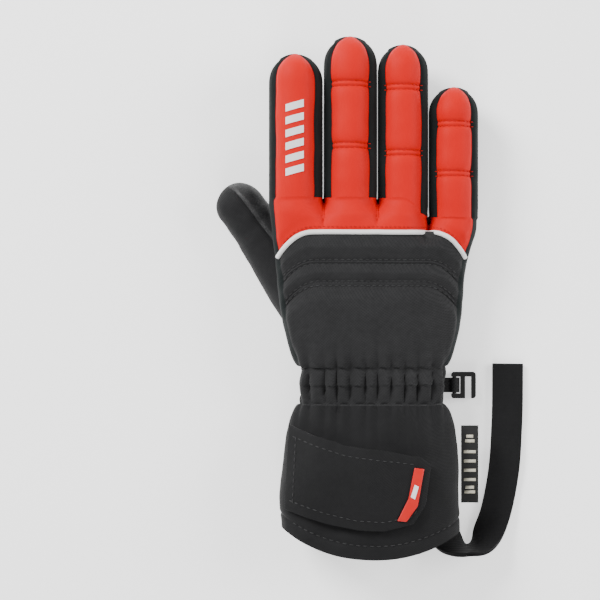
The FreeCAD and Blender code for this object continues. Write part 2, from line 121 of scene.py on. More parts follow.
class Nodes:
    """A small helper that adds and links shader nodes in one tree."""

    def __init__(self, tree: bpy.types.NodeTree) -> None:
        """Keeps the tree to work in."""
        self.tree = tree

    def add(self, kind: str, **values: object) -> bpy.types.Node:
        """Adds a node.

        Args:
            kind: The node's Blender type name.
            **values: Properties of the node, or inputs named in_NAME with underscores for spaces.

        Returns:
            The new node.
        """
        node = self.tree.nodes.new(kind)
        for name, value in values.items():
            if name.startswith("in_"):
                node.inputs[name[3:].replace("_", " ")].default_value = value
            else:
                setattr(node, name, value)
        return node

    def link(self, start: bpy.types.NodeSocket, end: bpy.types.NodeSocket) -> None:
        """Links an output to an input."""
        self.tree.links.new(start, end)

    def maths(self, operation: str, first: object, second: object = None,
              clamp: bool = False) -> bpy.types.NodeSocket:
        """Adds a Math node.

        Args:
            operation: Blender's name of the operation.
            first: A socket or a number.
            second: A socket or a number, if the operation takes two.
            clamp: Whether the result is held between 0 and 1.

        Returns:
            The node's output.
        """
        node = self.add("ShaderNodeMath", operation=operation, use_clamp=clamp)
        for place, value in enumerate((first, second)):
            if value is None:
                continue
            if isinstance(value, bpy.types.NodeSocket):
                self.link(value, node.inputs[place])
            else:
                node.inputs[place].default_value = value
        return node.outputs[0]

    def weighted(self, first: bpy.types.NodeSocket, share: float, second: bpy.types.NodeSocket,
                 other: float) -> bpy.types.NodeSocket:
        """The sum of two sockets by their shares, held between 0 and 1."""
        return self.maths("ADD", self.maths("MULTIPLY", first, share), self.maths("MULTIPLY", second, other),
                          clamp=True)

    def texture(self, kind: str, place: bpy.types.NodeSocket, **values: object) -> bpy.types.Node:
        """Adds a texture or group that reads a place; the values are as for add."""
        node = self.add(kind, **values)
        self.link(place, node.inputs["Vector"])
        return node

    def mixed(self, share: bpy.types.NodeSocket, first: tuple[float, ...],
              second: tuple[float, ...]) -> bpy.types.NodeSocket:
        """A mix of two colours by a share, and its output."""
        mix = self.add("ShaderNodeMix", data_type="RGBA")
        mix.inputs[6].default_value = (*first, 1)
        mix.inputs[7].default_value = (*second, 1)
        self.link(share, mix.inputs[0])
        return mix.outputs[2]

    def raise_on(self, shader: bpy.types.Node, height: bpy.types.NodeSocket, strength: float,
                 distance: float) -> None:
        """Lets a height stand out from a shader's surface.

        Args:
            shader: The shader whose normal is bent.
            height: The height's socket.
            strength: How strong the relief is, 0 to 1.
            distance: How high it is, in metres.
        """
        lift = self.add("ShaderNodeBump", in_Strength=strength, in_Distance=distance)
        self.link(height, lift.inputs["Height"])
        self.link(lift.outputs["Normal"], shader.inputs["Normal"])


def group(name: str, inputs: dict[str, float], outputs: tuple[str, ...]
          ) -> tuple[bpy.types.NodeTree, Nodes, bpy.types.Node, bpy.types.Node]:
    """A new shader node group with an object-space vector input.

    Args:
        name: The group's name.
        inputs: Its float inputs and their values.
        outputs: Its float outputs.

    Returns:
        The tree, its nodes, and the nodes at its start and its end.
    """
    tree = bpy.data.node_groups.new(name, "ShaderNodeTree")
    tree.interface.new_socket("Vector", in_out="INPUT", socket_type="NodeSocketVector")
    for label, value in inputs.items():
        socket = tree.interface.new_socket(label, in_out="INPUT", socket_type="NodeSocketFloat")
        socket.default_value = value
    for label in outputs:
        tree.interface.new_socket(label, in_out="OUTPUT", socket_type="NodeSocketFloat")
    n = Nodes(tree)
    return tree, n, n.add("NodeGroupInput"), n.add("NodeGroupOutput")


def weave_group() -> bpy.types.NodeTree:
    """Crossing threads: a height and a thread mask from two rows of rounded waves."""
    tree, n, start, end = group("Weave threads", {"Pitch": 900.0, "Slub": 0.35}, ("Height", "Thread"))
    split = n.add("ShaderNodeSeparateXYZ")
    n.link(start.outputs["Vector"], split.inputs[0])
    rough = n.texture("ShaderNodeTexNoise", start.outputs["Vector"], in_Scale=420.0, in_Detail=2.0)
    wobble = n.maths("MULTIPLY", n.maths("SUBTRACT", rough.outputs["Fac"], 0.5), start.outputs["Slub"])
    across = n.maths("ADD", n.maths("MULTIPLY", split.outputs[0], start.outputs["Pitch"]), wobble)
    up = n.maths("MULTIPLY", split.outputs[2], start.outputs["Pitch"])
    along = n.maths("ADD", n.maths("MULTIPLY", split.outputs[1], start.outputs["Pitch"]), wobble)
    along = n.maths("ADD", along, n.maths("MULTIPLY", up, 0.7))
    warp = n.maths("SINE", n.maths("ADD", across, n.maths("MULTIPLY", up, 0.7)))
    weft = n.maths("SINE", along)
    crossing = n.maths("MULTIPLY", warp, weft)
    height = n.maths("ADD", n.maths("MULTIPLY", crossing, 0.5), 0.5)
    slub = n.maths("MULTIPLY", rough.outputs["Fac"], start.outputs["Slub"])
    n.link(n.maths("ADD", height, slub), end.inputs["Height"])
    n.link(n.maths("SMOOTH_MIN", height, rough.outputs["Fac"]), end.inputs["Thread"])
    return tree


def grain_group() -> bpy.types.NodeTree:
    """Leather grain: pebbles between creases, at two scales."""
    tree, n, start, end = group("Leather grain", {"Scale": 900.0}, ("Height", "Crease"))
    cells = n.texture("ShaderNodeTexVoronoi", start.outputs["Vector"], feature="DISTANCE_TO_EDGE")
    n.link(start.outputs["Scale"], cells.inputs["Scale"])
    fine = n.texture("ShaderNodeTexNoise", start.outputs["Vector"], in_Detail=5.0)
    n.link(n.maths("MULTIPLY", start.outputs["Scale"], 1.6), fine.inputs["Scale"])
    crease = n.maths("SUBTRACT", 1.0, n.maths("MULTIPLY", cells.outputs["Distance"], 4.0), clamp=True)
    pebble = n.maths("MULTIPLY", n.maths("SUBTRACT", 1.0, crease), 0.8)
    n.link(n.maths("ADD", pebble, n.maths("MULTIPLY", fine.outputs["Fac"], 0.4)), end.inputs["Height"])
    n.link(crease, end.inputs["Crease"])
    return tree


def dust_group() -> bpy.types.NodeTree:
    """Slow colour drift and fine lint over a surface."""
    tree, n, start, end = group("Drift and lint", {"Scale": 60.0}, ("Drift", "Lint"))
    slow = n.texture("ShaderNodeTexNoise", start.outputs["Vector"], in_Detail=3.0)
    n.link(start.outputs["Scale"], slow.inputs["Scale"])
    specks = n.texture("ShaderNodeTexNoise", start.outputs["Vector"], in_Scale=1500.0, in_Detail=1.0)
    n.link(slow.outputs["Fac"], end.inputs["Drift"])
    n.link(n.maths("GREATER_THAN", specks.outputs["Fac"], 0.72), end.inputs["Lint"])
    return tree


GROUPS: dict[str, bpy.types.NodeTree] = {}


def shared(name: str) -> bpy.types.NodeTree:
    """A shared node group, built once."""
    makers = {"weave": weave_group, "grain": grain_group, "drift": dust_group}
    if name not in GROUPS:
        GROUPS[name] = makers[name]()
    return GROUPS[name]


def new_material(name: str) -> tuple[bpy.types.Material, Nodes, bpy.types.Node]:
    """A new material, its nodes and its shader."""
    material = bpy.data.materials.new(name)
    material.use_nodes = True
    return material, Nodes(material.node_tree), material.node_tree.nodes["Principled BSDF"]


@dataclass(frozen=True)
class Cloth:
    """A woven or knitted finish."""

    name: str
    base: tuple[float, float, float]
    light: tuple[float, float, float]
    weave: Weave = Weave.FINE
    pitch: float = 5200.0
    depth: float = 0.12
    roughness: float = 0.82
    sheen: float = 0.05
    lint: float = 0.0
    specular: float = 0.14

    def material(self) -> bpy.types.Material:
        """Builds the cloth's material."""
        material, n, shader = new_material(self.name)
        place = n.add("ShaderNodeTexCoord").outputs["Object"]
        slub = 0.9 if self.weave is Weave.CANVAS else 0.4
        threads = n.texture("ShaderNodeGroup", place, node_tree=shared("weave"), in_Pitch=self.pitch,
                            in_Slub=slub)
        drift = n.texture("ShaderNodeGroup", place, node_tree=shared("drift"))
        share = n.weighted(threads.outputs["Thread"], 0.75, drift.outputs["Drift"], 0.35)
        colour = n.mixed(share, self.base, self.light)
        if self.lint:
            specks = n.add("ShaderNodeMix", data_type="RGBA")
            specks.inputs[7].default_value = (0.35, 0.35, 0.36, 1)
            n.link(n.maths("MULTIPLY", drift.outputs["Lint"], self.lint), specks.inputs[0])
            n.link(colour, specks.inputs[6])
            colour = specks.outputs[2]
        n.link(colour, shader.inputs["Base Color"])
        height = threads.outputs["Height"]
        if self.weave is Weave.RIB:
            ribs = n.texture("ShaderNodeTexWave", place, bands_direction="Y", in_Scale=430.0)
            height = n.maths("ADD", height, ribs.outputs["Fac"])
        n.raise_on(shader, height, 0.55, self.depth * MM)
        shader.inputs["Roughness"].default_value = self.roughness
        shader.inputs["Sheen Weight"].default_value = self.sheen
        shader.inputs["Sheen Roughness"].default_value = 0.5
        shader.inputs["Specular IOR Level"].default_value = self.specular
        return material


@dataclass(frozen=True)
class Leather:
    """A grained leather finish."""

    name: str
    base: tuple[float, float, float]
    light: tuple[float, float, float]
    scale: float = 950.0
    roughness: float = 0.52

    def material(self) -> bpy.types.Material:
        """Builds the leather's material."""
        material, n, shader = new_material(self.name)
        place = n.add("ShaderNodeTexCoord").outputs["Object"]
        grain = n.texture("ShaderNodeGroup", place, node_tree=shared("grain"), in_Scale=self.scale)
        drift = n.texture("ShaderNodeGroup", place, node_tree=shared("drift"), in_Scale=45.0)
        share = n.weighted(grain.outputs["Crease"], 0.7, drift.outputs["Drift"], 0.4)
        n.link(n.mixed(share, self.light, self.base), shader.inputs["Base Color"])
        n.raise_on(shader, grain.outputs["Height"], 0.5, 0.18 * MM)
        rough = n.maths("ADD", n.maths("MULTIPLY", drift.outputs["Drift"], 0.2), self.roughness - 0.1)
        n.link(rough, shader.inputs["Roughness"])
        shader.inputs["Specular IOR Level"].default_value = 0.34
        return material


@dataclass(frozen=True)
class Smooth:
    """A plain moulded or coated finish with fine unevenness."""

    name: str
    base: tuple[float, float, float]
    roughness: float = 0.35
    coat: float = 0.0
    ripple: float = 0.05

    def material(self) -> bpy.types.Material:
        """Builds the finish's material."""
        material, n, shader = new_material(self.name)
        place = n.add("ShaderNodeTexCoord").outputs["Object"]
        drift = n.texture("ShaderNodeGroup", place, node_tree=shared("drift"), in_Scale=260.0)
        darker = tuple(channel * 0.86 for channel in self.base)
        n.link(n.mixed(drift.outputs["Drift"], darker, self.base), shader.inputs["Base Color"])
        rough = n.maths("ADD", n.maths("MULTIPLY", drift.outputs["Drift"], 0.2), self.roughness - 0.1)
        n.link(rough, shader.inputs["Roughness"])
        n.raise_on(shader, drift.outputs["Drift"], 0.35, self.ripple * MM)
        shader.inputs["Coat Weight"].default_value = self.coat
        return material


FINISHES: dict[str, object] = {
    "red_fabric": Cloth("Red nylon", (0.5, 0.0012, 0.0006), (0.62, 0.003, 0.0015), depth=0.07, roughness=0.62,
                        sheen=0.0),
    "black_weave": Cloth("Black canvas", (0.008, 0.008, 0.0085), (0.03, 0.03, 0.031), Weave.CANVAS,
                         4200.0, 0.2, 0.85),
    "thumb_fabric": Cloth("Thumb cloth", (0.006, 0.006, 0.0065), (0.019, 0.019, 0.02), Weave.CANVAS,
                          4800.0, 0.14, 0.8),
    "gusset_fabric": Cloth("Finger side cloth", (0.003, 0.005, 0.005), (0.01, 0.013, 0.013), pitch=5600.0),
    "cuff_fabric": Cloth("Cuff cloth", (0.004, 0.004, 0.0044), (0.013, 0.013, 0.0137), pitch=5200.0,
                         roughness=0.74),
    "strap_fabric": Cloth("Flap cloth", (0.004, 0.004, 0.0043), (0.012, 0.012, 0.0127), pitch=5200.0,
                          roughness=0.66),
    "lining": Cloth("Fleece lining", (0.012, 0.012, 0.012), (0.03, 0.03, 0.031), Weave.CANVAS, 2400.0,
                    0.4, 0.95, 0.5),
    "loop_pile": Cloth("Loop pile", (0.008, 0.008, 0.008), (0.03, 0.03, 0.03), Weave.CANVAS, 2100.0, 0.5,
                       0.95, 0.6),
    "elastic_tape": Cloth("Elastic tape", (0.003, 0.003, 0.0033), (0.011, 0.011, 0.0117), Weave.RIB,
                          6000.0, 0.12, 0.7),
    "webbing": Cloth("Hook webbing", (0.01, 0.01, 0.01), (0.032, 0.032, 0.033), Weave.RIB, 3600.0, 0.2, 0.75),
    "white_piping": Cloth("White piping", (0.72, 0.72, 0.71), (0.86, 0.86, 0.85), pitch=6500.0,
                          depth=0.05, roughness=0.6),
    "woven_label": Cloth("Label cloth", (0.01, 0.01, 0.01), (0.03, 0.03, 0.03), pitch=7000.0, depth=0.05,
                         roughness=0.7),
    "label_print": Cloth("Label motif", (0.5, 0.47, 0.38), (0.66, 0.63, 0.52), pitch=7000.0, depth=0.05,
                         roughness=0.7),
    "red_thread": Cloth("Red thread", (0.34, 0.002, 0.001), (0.5, 0.004, 0.002), pitch=9000.0,
                        depth=0.03, roughness=0.55),
    "black_thread": Cloth("Black thread", (0.012, 0.012, 0.012), (0.05, 0.05, 0.052), pitch=9000.0,
                          depth=0.03, roughness=0.55),
    "black_leather": Leather("Black leather", (0.006, 0.006, 0.0063), (0.024, 0.024, 0.0252)),
    "black_plastic": Smooth("Black moulded plastic", (0.004, 0.004, 0.0042), 0.22, 0.35),
    "red_tab": Smooth("Red rubber tab", (0.58, 0.003, 0.0016), 0.42),
    "white_print": Smooth("White rubber print", (0.82, 0.82, 0.81), 0.45),
}
MADE: dict[str, bpy.types.Material] = {}


def coat(piece: bpy.types.Object, finish: str) -> None:
    """Puts a finish on a piece; its material is made once."""
    if finish not in MADE:
        MADE[finish] = FINISHES[finish].material()
    piece.data.materials.clear()
    piece.data.materials.append(MADE[finish])


def dress(piece: bpy.types.Object, finish: str, slot: Optional[str] = None) -> None:
    """Gives a made piece a finish.

    Args:
        piece: The piece.
        finish: A name in FINISHES.
        slot: Not used.
    """
    coat(piece, finish)
    slot or finish


# ---------------------------------------------------------------- pieces


def placed(name: str, mesh: bpy.types.Mesh) -> bpy.types.Object:
    """Puts a mesh in the scene, smoothly shaded."""
    piece = bpy.data.objects.new(name, mesh)
    bpy.context.scene.collection.objects.link(piece)
    for polygon in mesh.polygons:
        polygon.use_smooth = True
    return piece


def add_piece(name: str, bm: bmesh.types.BMesh) -> bpy.types.Object:
    """Makes a scene object of a bmesh and frees it."""
    mesh = bpy.data.meshes.new(name)
    bm.to_mesh(mesh)
    bm.free()
    return placed(name, mesh)


def weld(bm: bmesh.types.BMesh) -> None:
    """Joins the touching points of bent grids and turns their faces outwards."""
    bmesh.ops.remove_doubles(bm, verts=bm.verts, dist=WELD)
    bmesh.ops.recalc_face_normals(bm, faces=bm.faces)


def face_up(bm: bmesh.types.BMesh) -> None:
    """Turns a sheet's faces upwards."""
    bmesh.ops.recalc_face_normals(bm, faces=bm.faces)
    if sum(face.normal.z for face in bm.faces) < 0:
        bmesh.ops.reverse_faces(bm, faces=bm.faces)


def lying(value: float, height: float) -> float:
    """A move along the normal, held back where the cloth lies on the floor."""
    return min(value, 0.0) * 0.2 if height < LYING_BELOW else value


def push(skin: bpy.types.Object, shift: Callable[[Vector, Vector], float]) -> None:
    """Moves a skin's points along its normals and keeps them over the floor.

    Args:
        skin: The skin.
        shift: Gives the move of a point with its normal.
    """
    points = skin.data.vertices
    normals = [vertex.normal.copy() for vertex in points]
    moves = [shift(vertex.co, normal) for vertex, normal in zip(points, normals)]
    for vertex, normal, move in zip(points, normals, moves):
        vertex.co += normal * move
        vertex.co.z = max(vertex.co.z, CLOTH_LOWEST)


def applied(piece: bpy.types.Object) -> bpy.types.Object:
    """Bakes a piece's modifiers into its mesh."""
    view = bpy.context.evaluated_depsgraph_get()
    view.update()
    mesh = bpy.data.meshes.new_from_object(piece.evaluated_get(view))
    piece.modifiers.clear()
    old = piece.data
    piece.data = mesh
    bpy.data.meshes.remove(old)
    return piece


def thicken(piece: bpy.types.Object, thickness: float, offset: float = -1.0) -> None:
    """Gives a cloth panel its wall and crisp edges.

    Args:
        piece: The panel, a surface without a wall.
        thickness: The wall.
        offset: Where the wall lies: -1 inwards, 0 to both sides.
    """
    wall = piece.modifiers.new("wall", "SOLIDIFY")
    wall.thickness = thickness
    wall.offset = offset
    wall.use_even_offset = False
    applied(piece).data.set_sharp_from_angle(angle=SHARP_EDGE)


def tube(name: str, points: list[Vector], radius: float, sides: int = 3) -> bpy.types.Object:
    """A round cord through points, as a closed mesh.

    Args:
        name: The piece's name.
        points: The points that the cord follows.
        radius: The cord's radius.
        sides: How finely it is rounded.

    Returns:
        The cord.
    """
    curve = bpy.data.curves.new(name, "CURVE")
    curve.dimensions = "3D"
    curve.bevel_depth = radius
    curve.bevel_resolution = sides
    curve.use_fill_caps = True
    line = curve.splines.new("NURBS")
    line.points.add(len(points) - 1)
    for place, point in zip(line.points, points):
        place.co = (*point, 1.0)
    line.order_u = 3
    line.use_endpoint_u = True
    holder = bpy.data.objects.new(name, curve)
    bpy.context.scene.collection.objects.link(holder)
    view = bpy.context.evaluated_depsgraph_get()
    view.update()
    mesh = bpy.data.meshes.new_from_object(holder.evaluated_get(view))
    bpy.data.objects.remove(holder)
    bpy.data.curves.remove(curve)
    mesh.name = name
    return placed(name, mesh)


# ---------------------------------------------------------------- the glove's measures


@dataclass
class Finger:
    """One finger's measures, read from the frame."""

    name: str
    x: float = 0.0
    z: float = 0.0
    radius: float = 0.0
    tip: float = 0.0
    base: float = 0.0
    middle: float = 0.0
    end: float = 0.0

    def __post_init__(self) -> None:
        """Reads the places of the joints and the skin's box."""
        low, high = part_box(f"{self.name}_middle_gussets")
        self.radius = (high[0] - low[0]) / 2
        self.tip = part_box(f"{self.name}_tip_gussets")[1][1]
        place = joint_place(f"{self.name}_base_flex")
        self.x, self.base, self.z = place
        self.middle = joint_place(f"{self.name}_middle_flex").y
        self.end = joint_place(f"{self.name}_tip_flex").y

    @property
    def quilted(self) -> bool:
        """Whether the finger's back has stitched flex lines; the one with the raised bars has none."""
        return self.name != "index"

    @property
    def zones(self) -> tuple[tuple[float, float], ...]:
        """The stretches along Y over which the cloth turns at each joint."""
        base_half = min(8.2 * MM, (self.middle - self.base) * 0.44)
        return (
            (self.base - base_half, self.base + base_half),
            (self.middle - base_half, self.middle + 8.6 * MM),
            (self.end - 8.0 * MM, self.end + 8.0 * MM),
        )

    @property
    def cuts(self) -> tuple[float, float]:
        """Where the skin is parted between joints, on stretches that don't bend."""
        zones = self.zones
        return (zones[0][1] + zones[1][0]) / 2, (zones[1][1] + zones[2][0]) / 2

    def part_at(self, y: float) -> str:
        """The finger part that a place along Y belongs to."""
        low, high = self.cuts
        return "base" if y < low else "middle" if y < high else "tip"


@dataclass
class Layout:
    """The glove's sections and its seam lines, in the row frame."""

    seam_angle: float = 39.0
    crotch: float = 50.6 * MM
    little_crotch: float = 41.0 * MM
    wrist: float = -42.4 * MM
    power: float = 2.5
    hem_radius: float = 80.0 * MM
    binding: float = 6.5 * MM
    floor: float = 0.25 * MM
    web_reach: float = 17.0 * MM
    pair_half: float = 1.15 * MM
    palm_seams: tuple[float, ...] = (41.8 * MM, 32.6 * MM, 20.9 * MM, 12.8 * MM)
    fingers: list[Finger] = field(default_factory=list)
    sections: list[tuple[float, ...]] = field(default_factory=list)

    def __post_init__(self) -> None:
        """Reads the fingers and sets the sections from them and from the cuff's box."""
        self.fingers = [Finger(name) for name in ("index", "middle", "ring", "little")]
        self.left = self.fingers[0].x - self.fingers[0].radius
        self.right = self.fingers[3].x + self.fingers[3].radius
        low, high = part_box("cuff_back")
        cuff_left, cuff_right = low[0], high[0]
        self.hem_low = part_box("cuff_hem_binding")[0][1]
        self.hem_middle = (cuff_left + cuff_right) / 2 + 2.0 * MM
        cuff = (
            (-130.0, 1.0, 0.4, 19.6, 20.0, 0.0), (-96.0, 0.6, 0.6, 19.6, 20.0, 0.0),
            (-78.0, 2.0, 1.2, 18.6, 19.4, 0.0), (-63.0, 4.4, 3.0, 17.2, 18.3, 0.0),
            (-52.0, 7.6, 6.8, 15.6, 17.2, 0.02),
        )
        hand = (
            (-42.5, 14.6, 16.4, 14.4, 17.0, 0.06), (-33.0, 13.4, 14.2, 15.6, 17.6, 0.107),
            (-10.0, 6.0, 8.2, 17.4, 18.6, 0.107), (12.0, 3.6, 6.2, 17.5, 19.2, 0.107),
            (33.0, 1.2, 2.4, 15.8, 19.8, 0.107), (60.0, 0.0, 0.0, 13.4, 20.0, 0.107),
        )
        for rows, start, stop in ((cuff, cuff_left, cuff_right), (hand, self.left, self.right)):
            for y, inset, other, half, centre, roll in rows:
                left, right = start + inset * MM, stop - other * MM
                self.sections.append((y * MM, left, right, half * MM, centre * MM, roll))

    def section(self, y: float) -> tuple[float, ...]:
        """The sleeve's section, smoothly between the given ones.

        Args:
            y: The place along Y.

        Returns:
            Left, right, half height, centre height and roll.
        """
        rows = self.sections
        place = min(max(y, rows[0][0]), rows[-1][0] - 1e-9)
        index = max(i for i in range(len(rows) - 1) if rows[i][0] <= place)
        before, start = rows[max(index - 1, 0)], rows[index]
        stop, after = rows[index + 1], rows[min(index + 2, len(rows) - 1)]
        share = (place - start[0]) / (stop[0] - start[0])
        values = []
        for k in range(1, 6):
            run = stop[0] - start[0]
            slope_in = (stop[k] - before[k]) / (stop[0] - before[0]) * run
            slope_out = (after[k] - start[k]) / (after[0] - start[0]) * run
            a, b = share * share, share ** 3
            values.append((2 * b - 3 * a + 1) * start[k] + (b - 2 * a + share) * slope_in
                          + (3 * a - 2 * b) * stop[k] + (b - a) * slope_out)
        return tuple(values)

    def crotch_at(self, x: float) -> float:
        """Where the fingers leave the hand, along Y."""
        ring, little = self.fingers[2], self.fingers[3]
        return self.crotch + (self.little_crotch - self.crotch) * smooth(ring.x, little.x - little.radius, x)

    def hem(self, x: float) -> float:
        """The curved lower edge of the cuff."""
        centre = self.hem_low + self.hem_radius
        return centre - math.sqrt(self.hem_radius ** 2 - (x - self.hem_middle) ** 2)

    @staticmethod
    def fall(across: float, level: float, flat: float, drop: float) -> float:
        """A seam that is level in the middle of the hand and falls towards its sides.

        Args:
            across: Place across the hand, -1 to 1.
            level: The seam's place in the middle, in mm.
            flat: How far from the middle it stays level, in mm.
            drop: How far it falls at the sides, in mm.

        Returns:
            The seam's place along Y, in metres.
        """
        over = max(0.0, abs(across) * HAND_HALF - flat) / (HAND_HALF - flat)
        return (level - drop * over * over) * MM

    def piping(self, across: float) -> float:
        """The piping's place along Y, across being -1 to 1."""
        return self.fall(across, 33.4, 29.5, 15.6)

    def quilt_high(self, across: float) -> float:
        """The upper quilting seam."""
        return self.fall(across, 18.7, 29.0, 12.1)

    def quilt_low(self, across: float) -> float:
        """The lower quilting seam."""
        return self.fall(across, 8.2, 27.0, 13.6)

    def across(self, x: float, y: float) -> float:
        """Place across the hand, -1 at its left edge and 1 at its right."""
        left, right = self.section(y)[:2]
        return (2 * x - left - right) / (right - left)

    def surface(self, across: float, y: float, upper: bool) -> Vector:
        """A point of the sleeve's skin, before the fingers part.

        Args:
            across: Place across the sleeve, -1 to 1.
            y: Place along it.
            upper: Whether the point is on the back and not on the palm.

        Returns:
            The point.
        """
        left, right, half, centre, roll = self.section(y)
        x = (left + right) / 2 + across * (right - left) / 2
        rise = half * (1 - min(1.0, abs(across)) ** self.power) ** (1 / self.power)
        z = centre - roll * x + (rise if upper else -rise)
        return Vector((x, y, max(self.floor, z)))


TOP_ANGLES = (180, 168, 155, 141, 129, 116, 103, 90, 77, 64, 51, 39, 25, 12, 0)


@dataclass
class Skin:
    """The glove's outer skin: one continuous surface that is then cut into its panels."""

    plan: Layout
    names: list[str] = field(default_factory=list)

    def tag(self, name: str) -> int:
        """The number that marks a panel's faces."""
        if name not in self.names:
            self.names.append(name)
        return self.names.index(name)

    def stations(self) -> list[tuple[Callable[[float, float], float], int, str]]:
        """Seam lines from hem to crotch, the rows up to each, and the stretch's name."""
        plan = self.plan
        return [
            (lambda a, x: plan.hem(x), 0, ""),
            (lambda a, x: plan.hem(x) + plan.binding, 3, "hem"),
            (lambda a, x: -96.0 * MM, 7, "cuff"),
            (lambda a, x: -78.0 * MM, 7, "cuff"),
            (lambda a, x: -62.0 * MM, 7, "cuff"),
            (lambda a, x: -52.0 * MM, 5, "cuff"),
            (lambda a, x: -33.0 * MM, 12, "gather"),
            (lambda a, x: plan.quilt_low(a), 15, "back"),
            (lambda a, x: plan.quilt_high(a), 6, "back"),
            (lambda a, x: plan.piping(a), 8, "back"),
            (lambda a, x: plan.crotch_at(x), 10, "yoke"),
        ]

    def grid(self, columns: int, rows: int) -> tuple[bmesh.types.BMesh, dict]:
        """A grid of quads and its vertices by column and row."""
        bm = bmesh.new()
        made = bmesh.ops.create_grid(bm, x_segments=columns - 1, y_segments=rows - 1, size=1.0)
        places = {}
        for vertex in made["verts"]:
            i = round((vertex.co.x + 1) / 2 * (columns - 1))
            j = round((vertex.co.y + 1) / 2 * (rows - 1))
            places[i, j] = vertex
        return bm, places

    def mapped(self, columns: int, rows: int, place: Callable[[int, int], Vector],
               mark: Callable[[int, int], str]) -> bmesh.types.BMesh:
        """A grid bent into shape.

        Args:
            columns: Vertices one way.
            rows: Vertices the other way.
            place: Gives the point of a column and row.
            mark: Gives the panel name of the face that starts at a column and row.

        Returns:
            The bmesh, its faces marked by material index.
        """
        bm, verts = self.grid(columns, rows)
        back = {vertex: key for key, vertex in verts.items()}
        for key, vertex in verts.items():
            vertex.co = place(*key)
        for face in bm.faces:
            i = min(back[v][0] for v in face.verts)
            j = min(back[v][1] for v in face.verts)
            face.material_index = self.tag(mark(i, j))
        return bm

    def half_sleeve(self, upper: bool) -> bmesh.types.BMesh:
        """The back or the palm of the sleeve from hem to crotch."""
        plan = self.plan
        columns = [(finger, angle) for finger in plan.fingers for angle in TOP_ANGLES]
        stretch = []
        for number, (_, count, name) in enumerate(self.stations()):
            stretch += [(number, (k + 1) / count, name) for k in range(count)]
        stretch = [(0, 0.0, "")] + stretch
        lines = [line for line, _, _ in self.stations()]
        sign = 1 if upper else -1

        def place(i: int, j: int) -> Vector:
            finger, angle = columns[i]
            turn = math.radians(angle)
            at_crotch = finger.x + finger.radius * math.cos(turn)
            across = (2 * at_crotch - plan.left - plan.right) / (plan.right - plan.left)
            number, share, _ = stretch[j]
            x = at_crotch
            y = 0.0
            for _ in range(3):
                high = lines[number](across, x)
                low = lines[max(number - 1, 0)](across, x)
                y = low + (high - low) * share
                x = plan.surface(across, y, upper).x
                if number == len(lines) - 1:
                    x = at_crotch
            point = plan.surface(across, y, upper)
            end = plan.crotch_at(at_crotch)
            lobe = Vector((at_crotch, y, finger.z + sign * finger.radius * math.sin(turn)))
            return point.lerp(lobe, smooth(end - plan.web_reach, end, y))

        def mark(i: int, j: int) -> str:
            name = stretch[j + 1][2]
            last = len(columns) - 2
            sides = i < SIDE_COLUMNS or i > last - SIDE_COLUMNS
            if name == "hem":
                return "hem_binding"
            if name == "cuff":
                return "cuff_back_panel" if upper else "cuff_palm_panel"
            if name == "gather":
                return "gathered_wrist"
            if sides:
                return "hand_side_panels"
            if not upper:
                return "palm_leather_panel"
            return "woven_back_panel" if name == "back" else "red_yoke_panel"

        return self.mapped(len(columns), len(stretch), place, mark)

    def finger_tube(self, finger: Finger) -> bmesh.types.BMesh:
        """One finger from the crotch to its closed tip."""
        plan = self.plan
        angles = list(TOP_ANGLES) + [-a for a in TOP_ANGLES[-2::-1]]
        cut_low, cut_high = finger.cuts
        shoulder = finger.tip - finger.radius
        flex = (-2.6 * MM, -1.2 * MM, 0.0, 1.2 * MM, 2.6 * MM)
        marks = [cut_low, *(finger.middle + step for step in flex),
                 cut_high, *(finger.end + step for step in flex)]
        counts = [6, 2, 1, 1, 1, 1, 5, 3, 1, 1, 1, 1]
        spare = shoulder - marks[-1]
        tip_counts = max(1, round(spare / (2.2 * MM)))
        levels: list[tuple[int, float]] = [(0, 0.0)]
        for number, count in enumerate(counts):
            levels += [(number, (k + 1) / count) for k in range(count)]
        levels += [(len(marks), (k + 1) / tip_counts) for k in range(tip_counts)]
        rows = len(levels) + DOME_ROWS

        def place(i: int, j: int) -> Vector:
            turn = math.radians(angles[i])
            start = plan.crotch_at(finger.x + finger.radius * math.cos(turn))
            if j < len(levels):
                number, share = levels[j]
                low = start if number == 0 else marks[number - 1]
                high = shoulder if number == len(marks) else marks[number]
                y = low + (high - low) * share
                reach = finger.radius
            else:
                lift = math.radians(90.0 * (j - len(levels) + 1) / DOME_ROWS)
                reach = finger.radius * math.cos(lift)
                y = shoulder + finger.radius * math.sin(lift)
            return Vector((finger.x + reach * math.cos(turn), y, finger.z + reach * math.sin(turn)))

        def mark(i: int, j: int) -> str:
            middle = (angles[i] + angles[i + 1]) / 2
            y = place(i, j).y + 0.1 * MM
            part = finger.part_at(y)
            seam = plan.seam_angle
            if seam < middle < 180 - seam:
                return f"{finger.name}_{part}_back_panel"
            if -180 + seam < middle < -seam and j < rows - 4:
                return f"{finger.name}_{part}_leather_panel"
            return f"{finger.name}_{part}_side_panels"

        return self.mapped(len(angles), rows, place, mark)

    def whole(self) -> bpy.types.Object:
        """The joined skin, smoothed once and facing outwards."""
        total = bmesh.new()
        parts = [self.half_sleeve(True), self.half_sleeve(False)]
        parts += [self.finger_tube(finger) for finger in self.plan.fingers]
        for part in parts:
            mesh = bpy.data.meshes.new("part")
            part.to_mesh(mesh)
            part.free()
            total.from_mesh(mesh)
            bpy.data.meshes.remove(mesh)
        weld(total)
        top = max(total.faces, key=lambda f: f.calc_center_median().z)
        if top.normal.z < 0:
            bmesh.ops.reverse_faces(total, faces=total.faces)
        return self.refined(add_piece("skin", total))

